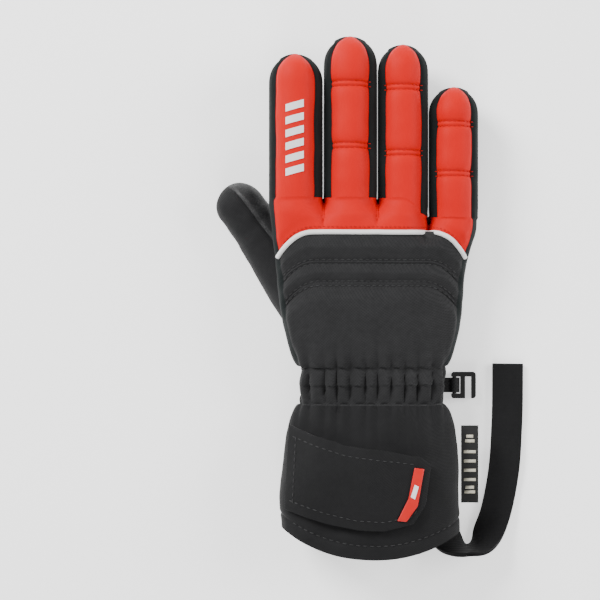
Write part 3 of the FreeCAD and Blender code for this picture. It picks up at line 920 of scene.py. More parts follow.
    def refined(self, piece: bpy.types.Object) -> bpy.types.Object:
        """Gives a joined skin a slot for each panel and smooths it once."""
        for name in self.names:
            piece.data.materials.append(bpy.data.materials.new(name))
        fine = piece.modifiers.new("fine", "SUBSURF")
        fine.levels = 1
        fine.render_levels = 1
        return applied(piece)


@dataclass
class Relief:
    """The padding's swell, the seams' grooves and the cloth's folds, as moves along the skin's normal."""

    plan: Layout
    groove: float = 1.0 * MM
    seam_width: float = 0.9 * MM
    puff: float = 1.1 * MM
    gather_depth: float = 4.0 * MM
    gather_sink: float = 2.2 * MM
    gather_half: float = 9.3 * MM
    gather_pitch: float = 6.7 * MM
    side_room: float = 0.33 * MM

    def pair(self, distance: float) -> float:
        """Two stitch grooves side by side and the wide dip they pull in."""
        near = bump(abs(distance) - self.plan.pair_half, 0.6 * MM)
        return -0.8 * MM * near - 0.9 * MM * bump(distance, 3.6 * MM)

    def finger(self, finger: Finger, point: Vector) -> float:
        """Swell and grooves of one finger."""
        turn = math.degrees(math.atan2(point.z - finger.z, point.x - finger.x))
        reach = finger.radius * math.pi / 180
        angle = self.plan.seam_angle
        seam = min(abs(abs(turn) - angle), abs(abs(turn) - 180 + angle)) * reach
        end = finger.tip - point.y
        value = -self.groove * bump(seam, self.seam_width) * smooth(0.0, 3 * MM, end)
        start = self.plan.crotch_at(point.x)
        if turn > 0:
            if finger.quilted:
                flex = self.pair(point.y - finger.middle) + self.pair(point.y - finger.end)
                value += flex * smooth(angle - 14, angle + 10, min(turn, 180 - turn))
            value += 0.5 * self.puff * smooth(2 * MM, 7 * MM, seam)
        else:
            bends = bump(point.y - finger.middle, 2.2 * MM) + bump(point.y - finger.end, 2.2 * MM)
            value -= 0.45 * MM * bends + self.groove * bump(end - 5.5 * MM, self.seam_width)
        value += 0.35 * MM * smooth(0.0, 10 * MM, point.y - start) * smooth(2 * MM, 5 * MM, seam)
        return value

    def hand(self, point: Vector, upper: bool) -> float:
        """Quilting on the back, cross seams on the palm, and the roots of the folds."""
        plan = self.plan
        across = plan.across(point.x, point.y)
        value = 0.0
        side = (1 - abs(across)) * HAND_HALF * MM
        if upper:
            inside = smooth(0.5 * MM, 5 * MM, side)
            low, high = point.y - plan.quilt_low(across), point.y - plan.quilt_high(across)
            value += (self.pair(low) + self.pair(high)) * inside
            pipe = point.y - plan.piping(across)
            value -= 0.8 * MM * bump(pipe, 2.0 * MM) * inside
            value -= 0.5 * MM * bump(side - 3.0 * MM, 1.2 * MM)
            value += self.puff * smooth(3 * MM, 9 * MM, min(abs(low), abs(high), abs(pipe))) * inside
        else:
            for level in plan.palm_seams:
                value += 0.8 * self.pair(point.y - level) * smooth(1 * MM, 6 * MM, side)
        return value

    def folds(self, point: Vector) -> float:
        """The gathered wrist and the folds that run out of it."""
        along = point.y - self.plan.wrist
        half = self.gather_half
        wobble = noise.noise(Vector((point.x / (9 * MM), point.z / (30 * MM), 3.0))) * 1.3 * MM
        phase = math.pi * (point.x + wobble) / self.gather_pitch
        if abs(along) < half:
            belly = 1 - (along / half) ** 2
            return self.gather_depth * belly * abs(math.cos(phase)) ** 0.55 - self.gather_sink
        reach = abs(along) - half
        fade = math.exp(-reach / (8.5 * MM))
        drift = noise.noise(Vector((point.x / (7 * MM), point.y / (22 * MM), 8.0)))
        folds = (1.9 * MM * (abs(math.cos(phase)) - 0.7) + 1.6 * MM * drift) * fade
        return folds - 0.9 * MM * math.exp(-reach / (2.2 * MM))

    def cloth(self, point: Vector) -> float:
        """Slow unevenness and small creases everywhere."""
        slow = noise.noise(point / (17 * MM)) * 0.8 * MM
        fine = noise.noise(point / (6.5 * MM) + Vector((4, 9, 2))) * 0.26 * MM
        return slow + fine

    def cuff(self, point: Vector) -> float:
        """The hem's seam and long soft folds down the cuff."""
        plan = self.plan
        edge = point.y - plan.hem(point.x)
        seam = -0.55 * MM * bump(edge - plan.binding, 0.8 * MM)
        fold = noise.noise(Vector((point.x / (15 * MM), point.y / (40 * MM), point.z / (28 * MM)))) * 1.7 * MM
        return seam + fold * smooth(0.0, 14 * MM, edge)

    def shift(self, point: Vector, normal: Vector) -> float:
        """How far a point of the skin moves outwards.

        Args:
            point: The point.
            normal: The skin's normal there.

        Returns:
            The move, in metres; fingers keep to their own room at the sides.
        """
        plan = self.plan
        value = self.cloth(point)
        for finger in plan.fingers:
            beside = abs(point.x - finger.x) < finger.radius + 0.3 * MM
            if beside and point.y > plan.crotch_at(point.x) - 0.2 * MM:
                value = value * 0.7 + self.finger(finger, point)
                return min(value, self.side_room) if abs(normal.x) > 0.6 else value
        if point.y > plan.wrist:
            near = smooth(0.0, 9 * MM, plan.crotch_at(point.x) - point.y)
            value += self.hand(point, normal.z > 0) * near
        else:
            value += self.cuff(point)
        value += self.folds(point)
        return lying(value, point.z)


@dataclass(frozen=True)
class Turn:
    """The joint that a piece lies across: two bodies and the stretch between them."""

    first: str
    second: str
    start: Vector
    end: Vector


def settle(piece: bpy.types.Object, body: str, turn: Optional[Turn] = None,
           nodes: tuple[str, ...] = ()) -> None:
    """Ties a finished piece to its body, or bakes its place when it has a turn, and hides what it stands for.

    Args:
        piece: The piece.
        body: The body that it rides on, when it has no turn.
        turn: The joint that it lies across; a piece with a turn keeps its place and is tied to no body.
        nodes: The CAD pieces that it stands for.
    """
    if turn:
        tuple(turn.start)
        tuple(turn.end)
        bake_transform(piece)
    else:
        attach(piece, body)
    if nodes:
        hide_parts(*nodes)
    log.info("%s made, %d faces", piece.name, len(piece.data.polygons))


@dataclass
class Panels:
    """Cuts the skin into its sewn panels and settles each one; only those without a turn are tied to a body.
    """

    plan: Layout
    skin: Skin
    wall: float = 1.7 * MM
    palm_seam: tuple[tuple[float, float], ...] = ((-9.5, -21.0), (45.0, -8.2))
    finger_kinds: tuple[tuple[str, str, str], ...] = (
        ("back_panel", "back", "red_fabric"),
        ("side_panels", "gussets", "gusset_fabric"),
        ("leather_panel", "leather", "black_leather"),
    )

    def wrist_turn(self) -> Turn:
        """The bend of the wrist."""
        middle = Vector((0, self.plan.wrist, self.plan.section(self.plan.wrist)[3]))
        reach = Vector((0, 14.5 * MM, 0))
        return Turn("cuff", "hand", middle - reach, middle + reach)

    def finger_turn(self, finger: Finger, part: str) -> Turn:
        """The bend of one finger joint."""
        number = ("base", "middle", "tip").index(part)
        low, high = finger.zones[number]
        bodies = ("hand", f"{finger.name}_base", f"{finger.name}_middle", f"{finger.name}_tip")
        start, end = (Vector((finger.x, y, finger.z)) for y in (low, high))
        return Turn(bodies[number], bodies[number + 1], start, end)

    def parted(self, mesh: bpy.types.Mesh, name: str) -> bmesh.types.BMesh:
        """One panel's faces, on their own."""
        bm = bmesh.new()
        bm.from_mesh(mesh)
        number = self.skin.names.index(name)
        others = [face for face in bm.faces if face.material_index != number]
        bmesh.ops.delete(bm, geom=others, context="FACES")
        for face in bm.faces:
            face.material_index = 0
        return bm

    def palm_parts(self, mesh: bpy.types.Mesh) -> list[tuple[str, bmesh.types.BMesh, str, str]]:
        """The palm leather and the heel cloth, cut apart along the slanted seam."""
        first, second = (Vector((x * MM, y * MM, 0)) for x, y in self.palm_seam)
        along = second - first
        normal = Vector((-along.y, along.x, 0)).normalized()
        parts = []
        for name, finish, node, leather in (("palm_leather_panel", "black_leather", "palm_leather", True),
                                            ("palm_heel_panel", "black_weave", "palm_heel", False)):
            bm = self.parted(mesh, "palm_leather_panel")
            geometry = bm.verts[:] + bm.edges[:] + bm.faces[:]
            bmesh.ops.bisect_plane(bm, geom=geometry, plane_co=first, plane_no=normal,
                                   clear_inner=leather, clear_outer=not leather)
            parts.append((name, bm, finish, node))
        return parts

    def finish(self, piece: bpy.types.Object, finish: str, body: str, turn: Optional[Turn],
               nodes: tuple[str, ...], wall: Optional[float] = None) -> None:
        """Thickens, dresses and settles one panel.

        Args:
            piece: The panel's surface.
            finish: Its finish.
            body: The body that it rides on, when it has no turn.
            turn: The joint that it lies across.
            nodes: The CAD pieces that it stands for.
            wall: Its thickness, when it isn't the usual one.
        """
        thicken(piece, wall or self.wall)
        dress(piece, finish)
        settle(piece, body, turn, nodes)

    def build(self, surface: bpy.types.Object) -> None:
        """Makes every panel of the sleeve and the fingers."""
        mesh = surface.data
        wrist = self.wrist_turn()
        rows = (
            ("hem_binding", "cuff_fabric", "cuff", None, ("cuff_hem_binding",), 2.6 * MM),
            ("cuff_back_panel", "cuff_fabric", "cuff", wrist, ("cuff_back",), None),
            ("cuff_palm_panel", "cuff_fabric", "cuff", wrist, ("cuff_palm",), None),
            ("gathered_wrist", "black_weave", "hand", wrist, ("wrist_gather",), None),
            ("hand_side_panels", "gusset_fabric", "hand", wrist, ("hand_side_gussets",), None),
            ("woven_back_panel", "black_weave", "hand", wrist, ("woven_back",), None),
            ("red_yoke_panel", "red_fabric", "hand", None, ("red_yoke",), None),
        )
        for name, finish, body, turn, nodes, wall in rows:
            piece = add_piece(name, self.parted(mesh, name))
            self.finish(piece, finish, body, turn, nodes, wall)
        for name, bm, finish, node in self.palm_parts(mesh):
            self.finish(add_piece(name, bm), finish, "hand", wrist, (node,))
        for finger in self.plan.fingers:
            for part in ("base", "middle", "tip"):
                turn = self.finger_turn(finger, part)
                for kind, node, finish in self.finger_kinds:
                    name = f"{finger.name}_{part}_{kind}"
                    piece = add_piece(name, self.parted(mesh, name))
                    self.finish(piece, finish, "", turn, (f"{finger.name}_{part}_{node}",))


@dataclass
class Thumb:
    """The thumb: outer cloth and inner leather along a slanted axis, parted between its two joints."""

    plan: Layout
    skin: Skin
    length: float = 88.4 * MM
    start: float = 4.0 * MM
    spread_at: float = 44.0 * MM
    widest: float = 17.2
    slimming: float = 5.4
    depth_below: float = 10.6 * MM
    top_share: float = 0.96
    seam_tilt: float = 16.0
    steps: int = 28
    around: int = 32

    def __post_init__(self) -> None:
        """Reads the axis from the two thumb joints."""
        self.spread = joint_place("thumb_spread")
        self.bend = joint_place("thumb_tip_flex")
        self.along = (self.bend - self.spread).normalized()
        self.right = Vector((self.along.y, -self.along.x, 0))
        self.bend_at = self.spread_at + (self.bend - self.spread).length
        self.cut = (self.spread_at + self.bend_at) / 2 + 0.5 * MM

    def axis(self, distance: float) -> Vector:
        """A point on the axis."""
        return self.spread + self.along * (distance - self.spread_at)

    def reach(self, distance: float) -> float:
        """Half width at a place along the axis."""
        share = smooth(8 * MM, 74 * MM, distance)
        return (self.widest - self.slimming * share) * MM

    def build(self) -> list[bpy.types.Object]:
        """Makes the thumb's four panels.

        Returns:
            The panels, root first.
        """
        shoulder = self.length - self.reach(self.length)

        def place(i: int, j: int) -> Vector:
            turn = 2 * math.pi * i / self.around + math.radians(90 - self.seam_tilt)
            if j <= self.steps:
                distance = self.start + (shoulder - self.start) * j / self.steps
                reach = self.reach(distance)
            else:
                lift = math.radians(90 * (j - self.steps) / DOME_ROWS)
                full = self.reach(shoulder)
                distance = shoulder + full * math.sin(lift)
                reach = full * math.cos(lift)
            low = min(1.0, self.depth_below / max(reach, 0.1 * MM))
            side = reach * math.cos(turn)
            height = reach * math.sin(turn) * (self.top_share if math.sin(turn) > 0 else low)
            point = self.axis(distance) + self.right * side
            point.z = max(self.plan.floor, self.bend.z + height)
            return point

        def mark(i: int, j: int) -> str:
            middle = self.start + (shoulder - self.start) * (j + 0.5) / self.steps
            part = "root" if middle < self.cut else "end"
            return f"thumb_{part}_{'leather' if i >= self.around / 2 else 'cloth'}_panel"

        bm = self.skin.mapped(self.around + 1, self.steps + DOME_ROWS + 1, place, mark)
        weld(bm)
        piece = self.skin.refined(add_piece("thumb_skin", bm))
        push(piece, self.swell)
        panels = Panels(self.plan, self.skin)
        made = []
        for name, finish, nodes in (
            ("thumb_root_cloth_panel", "thumb_fabric", ("thumb_base_panel", "thumb_middle_fabric")),
            ("thumb_root_leather_panel", "black_leather", ("thumb_middle_leather",)),
            ("thumb_end_cloth_panel", "thumb_fabric", ("thumb_tip_fabric",)),
            ("thumb_end_leather_panel", "black_leather", ("thumb_tip_leather",)),
        ):
            panel = add_piece(name, panels.parted(piece.data, name))
            panels.finish(panel, finish, "", self.turn("root" in name), nodes)
            made.append(panel)
        bpy.data.objects.remove(piece)
        return made

    def turn(self, root: bool) -> Turn:
        """The joint that a thumb panel lies across."""
        if root:
            start, end = self.spread_at - 9 * MM, self.spread_at + 8.5 * MM
            return Turn("hand", "thumb_middle", self.axis(start), self.axis(end))
        start, end = self.bend_at - 8 * MM, self.bend_at + 8 * MM
        return Turn("thumb_middle", "thumb_tip", self.axis(start), self.axis(end))

    def swell(self, point: Vector, _normal: Vector) -> float:
        """How far a point of the thumb's skin moves outwards: its seams and folds.

        Args:
            point: The point.
            _normal: The skin's normal there, which the thumb doesn't need.

        Returns:
            The move, in metres.
        """
        offset = point - self.axis(0)
        distance = offset.dot(self.along)
        height = point.z - self.bend.z
        turn = math.degrees(math.atan2(height, offset.dot(self.right))) - 90 + self.seam_tilt
        from_seam = min(abs((turn + 180) % 360 - 180), abs(turn % 360 - 180))
        seam = from_seam * math.pi / 180 * self.reach(distance)
        value = -0.8 * MM * bump(seam, 0.9 * MM) + 0.3 * MM
        value += noise.noise(point / (15 * MM)) * 0.6 * MM + noise.noise(point / (5 * MM)) * 0.2 * MM
        value += 0.3 * MM * math.sin(distance / (2.1 * MM)) * bump(distance - self.bend_at, 7 * MM)
        return lying(value, point.z)


# ---------------------------------------------------------------- trims and stitches


@dataclass
class Drape:
    """A finished surface that trims are laid on; rays meet it from above or below."""

    tree: BVHTree
    above: float = 0.2
    below: float = -0.1
    search: float = 0.17

    @classmethod
    def over(cls, *pieces: bpy.types.Object) -> "Drape":
        """A surface made of pieces.

        Args:
            *pieces: The objects to lay things on.

        Returns:
            The surface.
        """
        corners, faces = [], []
        for piece in pieces:
            start = len(corners)
            corners += [vertex.co.copy() for vertex in piece.data.vertices]
            faces += [[start + v for v in face.vertices] for face in piece.data.polygons]
        return cls(BVHTree.FromPolygons(corners, faces))

    def top(self, x: float, y: float, lift: float = 0.0) -> tuple[Vector, Vector]:
        """The highest point at a place, raised along its normal, and the normal."""
        return self.hit(Vector((x, y, self.above)), Vector((0, 0, -1)), lift)

    def under(self, x: float, y: float, lift: float = 0.0) -> tuple[Vector, Vector]:
        """The lowest point at a place, moved out along its normal, and the normal."""
        return self.hit(Vector((x, y, self.below)), Vector((0, 0, 1)), lift)

    def hit(self, start: Vector, way: Vector, lift: float) -> tuple[Vector, Vector]:
        """Where a ray meets the surface, or the nearest point if it passes by.

        Args:
            start: The ray's start.
            way: Its direction.
            lift: How far the point is moved out along the normal.

        Returns:
            The point and the normal, which faces the ray.
        """
        point, normal, _, _ = self.tree.ray_cast(start, way)
        if point is None:
            point, normal, _, _ = self.tree.find_nearest(start + way * self.search)
        if normal.dot(way) > 0:
            normal = -normal
        return point + normal * lift, normal


@dataclass
class Thread:
    """Rows of short stitches."""

    length: float = 2.3 * MM
    gap: float = 1.0 * MM
    width: float = 0.36 * MM
    sides: int = 6
    rings: int = 5

    def row(self, bm: bmesh.types.BMesh, line: list[tuple[Vector, Vector]]) -> None:
        """Adds one row of stitches.

        Args:
            bm: The bmesh to add to.
            line: The row's points and normals.
        """
        carry = 0.0
        for (start, up), (end, _) in zip(line, line[1:]):
            way = end - start
            run = way.length
            if run < 1e-7:
                continue
            while carry < run:
                self.stitch(bm, start + way * (carry / run), way.normalized(), up)
                carry += self.length + self.gap
            carry -= run

    def stitch(self, bm: bmesh.types.BMesh, place: Vector, way: Vector, up: Vector) -> None:
        """Adds one stitch."""
        side = up.cross(way).normalized()
        rise = way.cross(side).normalized()
        axes = (way * self.length / 2, side * self.width, rise * self.width * 0.8)
        turn = Matrix(axes).transposed().to_4x4()
        bmesh.ops.create_uvsphere(bm, u_segments=self.sides, v_segments=self.rings, radius=1.0,
                                  matrix=Matrix.Translation(place) @ turn)

    def piece(self, name: str, lines: list[list[tuple[Vector, Vector]]], finish: str,
              slot: str) -> bpy.types.Object:
        """Makes one object of several rows.

        Args:
            name: The object's name.
            lines: Each row's points and normals.
            finish: The thread's finish.
            slot: Handed on to dress, which does not use it.

        Returns:
            The stitches.
        """
        bm = bmesh.new()
        for line in lines:
            self.row(bm, line)
        made = add_piece(name, bm)
        dress(made, finish, slot)
        return made


def between(points: tuple[tuple[float, float], ...], share: float) -> tuple[float, float]:
    """A place along an outline of points, in proportion to its length."""
    runs = [math.dist(a, b) for a, b in zip(points, points[1:])]
    left = share * sum(runs)
    for (a, b), run in zip(zip(points, points[1:]), runs):
        if left <= run or b == points[-1]:
            t = left / run
            return a[0] + (b[0] - a[0]) * t, a[1] + (b[1] - a[1]) * t
        left -= run
    return points[-1]


@dataclass
class Patch:
    """A flat trim cut to an outline and laid on a surface: two long edges, and the cloth between them."""

    name: str
    upper: tuple[tuple[float, float], ...]
    lower: tuple[tuple[float, float], ...]
    lift: float
    wall: float
    columns: int = 48
    rows: int = 26
    crown: float = 0.0
    origin: Vector = field(default_factory=Vector)

    def place(self, u: float, v: float) -> tuple[float, float]:
        """A place on the patch: u along its long edges and v from the lower to the upper one."""
        low, high = between(self.lower, u), between(self.upper, u)
        x = low[0] + (high[0] - low[0]) * v
        y = low[1] + (high[1] - low[1]) * v
        return x * MM + self.origin.x, y * MM + self.origin.y

    def build(self, drape: Drape) -> bpy.types.Object:
        """Lays the patch on a surface and thickens it."""
        bm = bmesh.new()
        made = bmesh.ops.create_grid(bm, x_segments=self.columns, y_segments=self.rows, size=1.0)
        for vertex in made["verts"]:
            u, v = (vertex.co.x + 1) / 2, (vertex.co.y + 1) / 2
            x, y = self.place(u, v)
            point, normal = drape.top(x, y, self.lift)
            inside = min(u, 1 - u) * self.columns, min(v, 1 - v) * self.rows
            swell = self.crown * smooth(0, 4, inside[0]) * smooth(0, 4, inside[1])
            vertex.co = point + normal * swell
        for _ in range(3):
            bmesh.ops.smooth_vert(bm, verts=[v for v in bm.verts if not v.is_boundary], factor=0.5,
                                  use_axis_x=True, use_axis_y=True, use_axis_z=True)
        face_up(bm)
        piece = add_piece(self.name, bm)
        wall = piece.modifiers.new("wall", "SOLIDIFY")
        wall.thickness = self.wall
        wall.offset = 1.0
        round_edge = piece.modifiers.new("edge", "BEVEL")
        round_edge.width = self.wall * 0.38
        round_edge.segments = 3
        round_edge.limit_method = "ANGLE"
        round_edge.angle_limit = math.radians(50)
        return applied(piece)

    def line(self, drape: Drape, v: float, start: float, stop: float,
             lift: float) -> list[tuple[Vector, Vector]]:
        """A seam along the patch.

        Args:
            drape: The surface that the seam lies on.
            v: Its place between the lower edge, 0, and the upper, 1.
            start: Where it begins along the patch, 0 to 1.
            stop: Where it ends.
            lift: How far it stands off the surface.

        Returns:
            Its points and normals.
        """
        steps = 60
        return [drape.top(*self.place(start + (stop - start) * k / steps, v), lift) for k in range(steps + 1)]


@dataclass
class Stitching:
    """Every row of stitches on the sleeve and the fingers."""

    plan: Layout
    panels: Panels
    surface: Drape
    lift: float = 0.12 * MM
    steps: int = 90
    palm_steps: int = 60

    def across(self, line: Callable[[float], float], reach: float) -> list[tuple[Vector, Vector]]:
        """A seam over the back of the hand from side to side."""
        row = []
        for k in range(self.steps + 1):
            a = -reach + 2 * reach * k / self.steps
            spot = self.plan.surface(a, line(a), True)
            row.append(self.surface.top(spot.x, spot.y, self.lift))
        return row

    def back(self) -> None:
        """The yoke's seam and the quilting on the back."""
        plan = self.plan
        red = self.across(lambda a: plan.piping(a) + 2.6 * MM, 0.9)
        fine = Thread(1.5 * MM, 0.7 * MM, 0.26 * MM)
        settle(fine.piece("yoke_stitches", [red], "red_thread", "red_fabric"), "hand")
        rows = [self.across(lambda a, s=s, seam=seam: seam(a) + s * plan.pair_half, 0.9)
                for seam in (plan.quilt_high, plan.quilt_low) for s in (-1, 1)]
        thread = Thread(2.2 * MM, 0.9 * MM, 0.3 * MM)
        settle(thread.piece("back_stitches", rows, "black_thread", "black_weave"), "hand")

    def fingers(self) -> None:
        """The double flex lines over the backs of the fingers."""
        thread = Thread(1.9 * MM, 0.8 * MM, 0.28 * MM)
        first = self.plan.seam_angle + 5
        sweep = 170 - 2 * self.plan.seam_angle
        for finger in (f for f in self.plan.fingers if f.quilted):
            for part, level in (("middle", finger.middle), ("tip", finger.end)):
                rows = []
                for side in (-1, 1):
                    row = []
                    for k in range(25):
                        turn = math.radians(first + sweep * k / 24)
                        x = finger.x + finger.radius * math.cos(turn)
                        row.append(self.surface.top(x, level + side * self.plan.pair_half, self.lift))
                    rows.append(row)
                made = thread.piece(f"{finger.name}_{part}_stitches", rows, "red_thread", "red_fabric")
                settle(made, "", self.panels.finger_turn(finger, part))

    def hem(self) -> None:
        """The stitch row above the cuff's binding, round both faces."""
        plan = self.plan
        rows = []
        for look in (self.surface.top, self.surface.under):
            row = []
            for k in range(self.steps + 1):
                x = plan.hem_middle + (k / self.steps - 0.5) * 78 * MM
                row.append(look(x, plan.hem(x) + plan.binding + 0.5 * MM, self.lift))
            rows.append(row)
        made = Thread(2.4 * MM, 1.0 * MM, 0.3 * MM).piece("hem_stitches", rows, "black_thread", "cuff_fabric")
        settle(made, "cuff")

    def palm(self) -> None:
        """The palm's cross seams and the double seam of the heel."""
        heel_start, heel_end = (Vector((x * MM, y * MM)) for x, y in self.panels.palm_seam)
        lines = [(heel_start, heel_end, side) for side in (0.8 * MM, 2.9 * MM)]
        for level in self.plan.palm_seams:
            ends = Vector((-36 * MM, level)), Vector((40 * MM, level))
            lines += [(*ends, side * self.plan.pair_half) for side in (-1, 1)]
        rows = []
        for start, end, side in lines:
            spots = [start.lerp(end, k / self.palm_steps) for k in range(self.palm_steps + 1)]
            rows.append([self.surface.under(spot.x, spot.y + side, self.lift) for spot in spots])
        thread = Thread(2.2 * MM, 0.9 * MM, 0.3 * MM)
        made = thread.piece("palm_stitches", rows, "black_thread", "black_leather")
        settle(made, "hand", self.panels.wrist_turn())

    def build(self) -> None:
        """Makes every row."""
        self.back()
        self.fingers()
        self.hem()
        self.palm()


@dataclass
class Piping:
    """The white cord sewn into the yoke's seam."""

    plan: Layout
    surface: Drape
    radius: float = 1.2 * MM
    reach: float = 0.955

    def build(self) -> None:
        """Lays the cord."""
        points = []
        for k in range(81):
            a = self.reach * (2 * k / 80 - 1)
            spot = self.plan.surface(a, self.plan.piping(a), True)
            points.append(self.surface.top(spot.x, spot.y, self.radius * 0.35)[0])
        cord = tube("white_piping_cord", points, self.radius)
        dress(cord, "white_piping")
        settle(cord, "hand", None, ("white_piping",))


@dataclass
class Flap:
    """The wrist closure: a wide flap over the cuff, its stitch rows and its rubber pull."""

    plan: Layout
    upper: tuple[tuple[float, float], ...] = ((-38.5, -62.5), (-27.5, -66.8), (-12.0, -71.8), (7.0, -74.4),
                                              (24.2, -77.3), (28.9, -81.1))
    lower: tuple[tuple[float, float], ...] = ((-40.5, -103.0), (-21.8, -108.9), (-6.5, -112.2), (7.0, -112.7),
                                              (20.4, -109.3), (26.4, -99.5))
    tab_upper: tuple[tuple[float, float], ...] = ((21.5, -82.0), (18.5, -97.0), (13.0, -107.5))
    tab_lower: tuple[tuple[float, float], ...] = ((26.2, -82.6), (23.0, -100.5), (17.5, -108.0))
    flap_left: float = -41.6 * MM
    label_low: float = -101.7 * MM
    seam_rows: tuple[float, float] = (0.115, 0.885)
    seam_lift: float = 0.12 * MM
    blend_start: float = 3.0 * MM
    blend_reach: float = 9.0 * MM

    def origin(self) -> Vector:
        """Where the outlines' own zero lies in the row frame."""
        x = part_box("closure_flap")[0][0] - self.flap_left
        return Vector((x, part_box("side_label")[0][1] - self.label_low, 0))

    def build(self, surface: Drape) -> None:
        """Makes the flap, its pull and its stitches."""
        zero = self.origin()
        patch = Patch("closure_flap_cloth", self.upper, self.lower, 0.9 * MM, 2.3 * MM, crown=0.35 * MM,
                      origin=zero)
        flap = patch.build(surface)
        dress(flap, "strap_fabric")
        sewn = joint_place("flap_open") + Vector((self.blend_start, 0, 0))
        turn = Turn("cuff", "flap", sewn, sewn + Vector((self.blend_reach, 0, 0)))
        settle(flap, "", turn, ("closure_flap",))
        top = Drape.over(flap)
        rows = [patch.line(top, v, 0.02, 0.9, self.seam_lift) for v in self.seam_rows]
        rows.append([top.top(*patch.place(0.03, 0.12 + 0.76 * k / 30), self.seam_lift) for k in range(31)])
        thread = Thread(2.4 * MM, 1.0 * MM, 0.3 * MM)
        settle(thread.piece("flap_stitches", rows, "black_thread", "strap_fabric"), "", turn)
        pull = Patch("flap_pull_rubber", self.tab_upper, self.tab_lower, 0.15 * MM, 0.9 * MM, 26, 8,
                     origin=zero)
        tab = pull.build(top)
        dress(tab, "red_tab")
        settle(tab, "flap", None, ("flap_pull_tab",))
        face = Drape.over(tab)
        mark = Patch("flap_pull_mark", ((21.6, -90.0), (19.6, -96.0)), ((23.6, -91.0), (21.7, -97.2)),
                     0.05 * MM, 0.25 * MM, 8, 4, origin=zero).build(face)
        dress(mark, "white_print", "white_piping")
        settle(mark, "flap")


@dataclass
class Leash:
    """The folded elastic tape of the wrist leash, lying beside the glove."""

    width: float = 15.6 * MM
    wall: float = 0.9 * MM
    layer_gap: float = 1.3 * MM
    lift: float = 1.6 * MM
    steps: int = 70
    fold_steps: int = 8
    columns: int = 6
    twist: float = 82.0
    blend_reach: float = 11.0 * MM
    route: tuple[tuple[float, float], ...] = ((34.5, -116.5), (40.5, -122.5), (48.5, -126.6), (56.5, -122.6),
                                              (63.0, -110.0), (67.6, -88.0), (69.4, -62.0), (69.8, -33.5))

    def centre(self, share: float) -> Vector:
        """A point of the route, smooth between its points."""
        points = [Vector((x * MM, y * MM, 0)) for x, y in self.route]
        spans = len(points) - 1
        place = min(share * spans, spans - 1e-6)
        i = int(place)
        t = place - i
        p0, p1, p2, p3 = (points[max(0, min(spans, k))] for k in (i - 1, i, i + 1, i + 2))
        return 0.5 * (2 * p1 + (p2 - p0) * t + (2 * p0 - 5 * p1 + 4 * p2 - p3) * t * t
                      + (3 * p1 - p0 - 3 * p2 + p3) * t ** 3)

    def frame_at(self, share: float) -> tuple[Vector, Vector, Vector]:
        """Centre, width direction and layer direction at a share of the route."""
        centre = self.centre(share)
        way = (self.centre(min(1.0, share + 0.01)) - self.centre(max(0.0, share - 0.01))).normalized()
        flat = Vector((way.y, -way.x, 0))
        turn = math.radians(self.twist) * bump(share - 0.3, 0.17)
        across = flat * math.cos(turn) + Vector((0, 0, 1)) * math.sin(turn)
        normal = Vector((0, 0, 1)) * math.cos(turn) - flat * math.sin(turn)
        centre.z = self.lift + self.width / 2 * math.sin(turn) + 0.4 * MM * math.sin(share * 19) ** 2
        return centre, across, normal

    def build(self) -> None:
        """Makes the two layers and the fold that joins them."""
        half = self.layer_gap / 2
        rings: list[tuple[Vector, Vector]] = []
        for k in range(self.steps + 1):
            centre, across, normal = self.frame_at(k / self.steps)
            rings.append((centre + normal * half, across))
        centre, across, normal = self.frame_at(1.0)
        way = (self.centre(1.0) - self.centre(0.98)).normalized()
        for k in range(1, self.fold_steps):
            turn = math.pi * k / self.fold_steps
            rings.append((centre + normal * half * math.cos(turn) + way * half * math.sin(turn), across))
        for k in range(self.steps, -1, -1):
            centre, across, normal = self.frame_at(k / self.steps)
            rings.append((centre - normal * half, across))
        bm = bmesh.new()
        made = bmesh.ops.create_grid(bm, x_segments=self.columns, y_segments=len(rings) - 1, size=1.0)
        for vertex in made["verts"]:
            j = round((vertex.co.y + 1) / 2 * (len(rings) - 1))
            centre, across = rings[j]
            vertex.co = centre + across * (self.width / 2 * vertex.co.x)
        bmesh.ops.recalc_face_normals(bm, faces=bm.faces)
        tape = add_piece("leash_tape", bm)
        thicken(tape, self.wall, 0.0)
        for vertex in tape.data.vertices:
            vertex.co.z = max(vertex.co.z, CLOTH_LOWEST)
        dress(tape, "elastic_tape")
        place = joint_place("leash_swing")
        reach = Vector((self.blend_reach, 0, 0))
        settle(tape, "", Turn("cuff", "leash", place - reach * 0.1, place + reach), ("wrist_leash",))


@dataclass
class Lining:
    """The fleece tube inside the cuff and the hand."""

    plan: Layout
    panels: Panels
    inset: float = 3.4 * MM
    end: float = 34.0 * MM
    wall: float = 1.0 * MM
    hem_gap: float = 1.8 * MM
    hem_probe: float = -110 * MM
    around: int = 56
    steps: int = 44

    def build(self) -> None:
        """Makes the tube."""
        plan = self.plan

        def place(i: int, j: int) -> Vector:
            turn = 2 * math.pi * i / self.around
            across = math.cos(turn)
            upper = math.sin(turn) >= 0
            start = plan.hem(plan.surface(across, self.hem_probe, upper).x) + self.hem_gap
            y = start + (self.end - start) * j / self.steps
            point = plan.surface(across, y, upper)
            middle = plan.section(y)
            centre = Vector(((middle[0] + middle[1]) / 2, y, middle[3] - middle[4] * point.x))
            out = point - centre
            half_x, half_z = (middle[1] - middle[0]) / 2, middle[2]
            out.x *= 1 - self.inset / half_x
            out.z *= 1 - self.inset / half_z
            return centre + out

        skin = Skin(plan)
        bm = skin.mapped(self.around + 1, self.steps + 1, place, lambda i, j: "lining")
        weld(bm)
        sleeve = add_piece("lining_sleeve", bm)
        thicken(sleeve, self.wall)
        dress(sleeve, "lining")
        settle(sleeve, "cuff", self.panels.wrist_turn(), ("cuff_lining",))


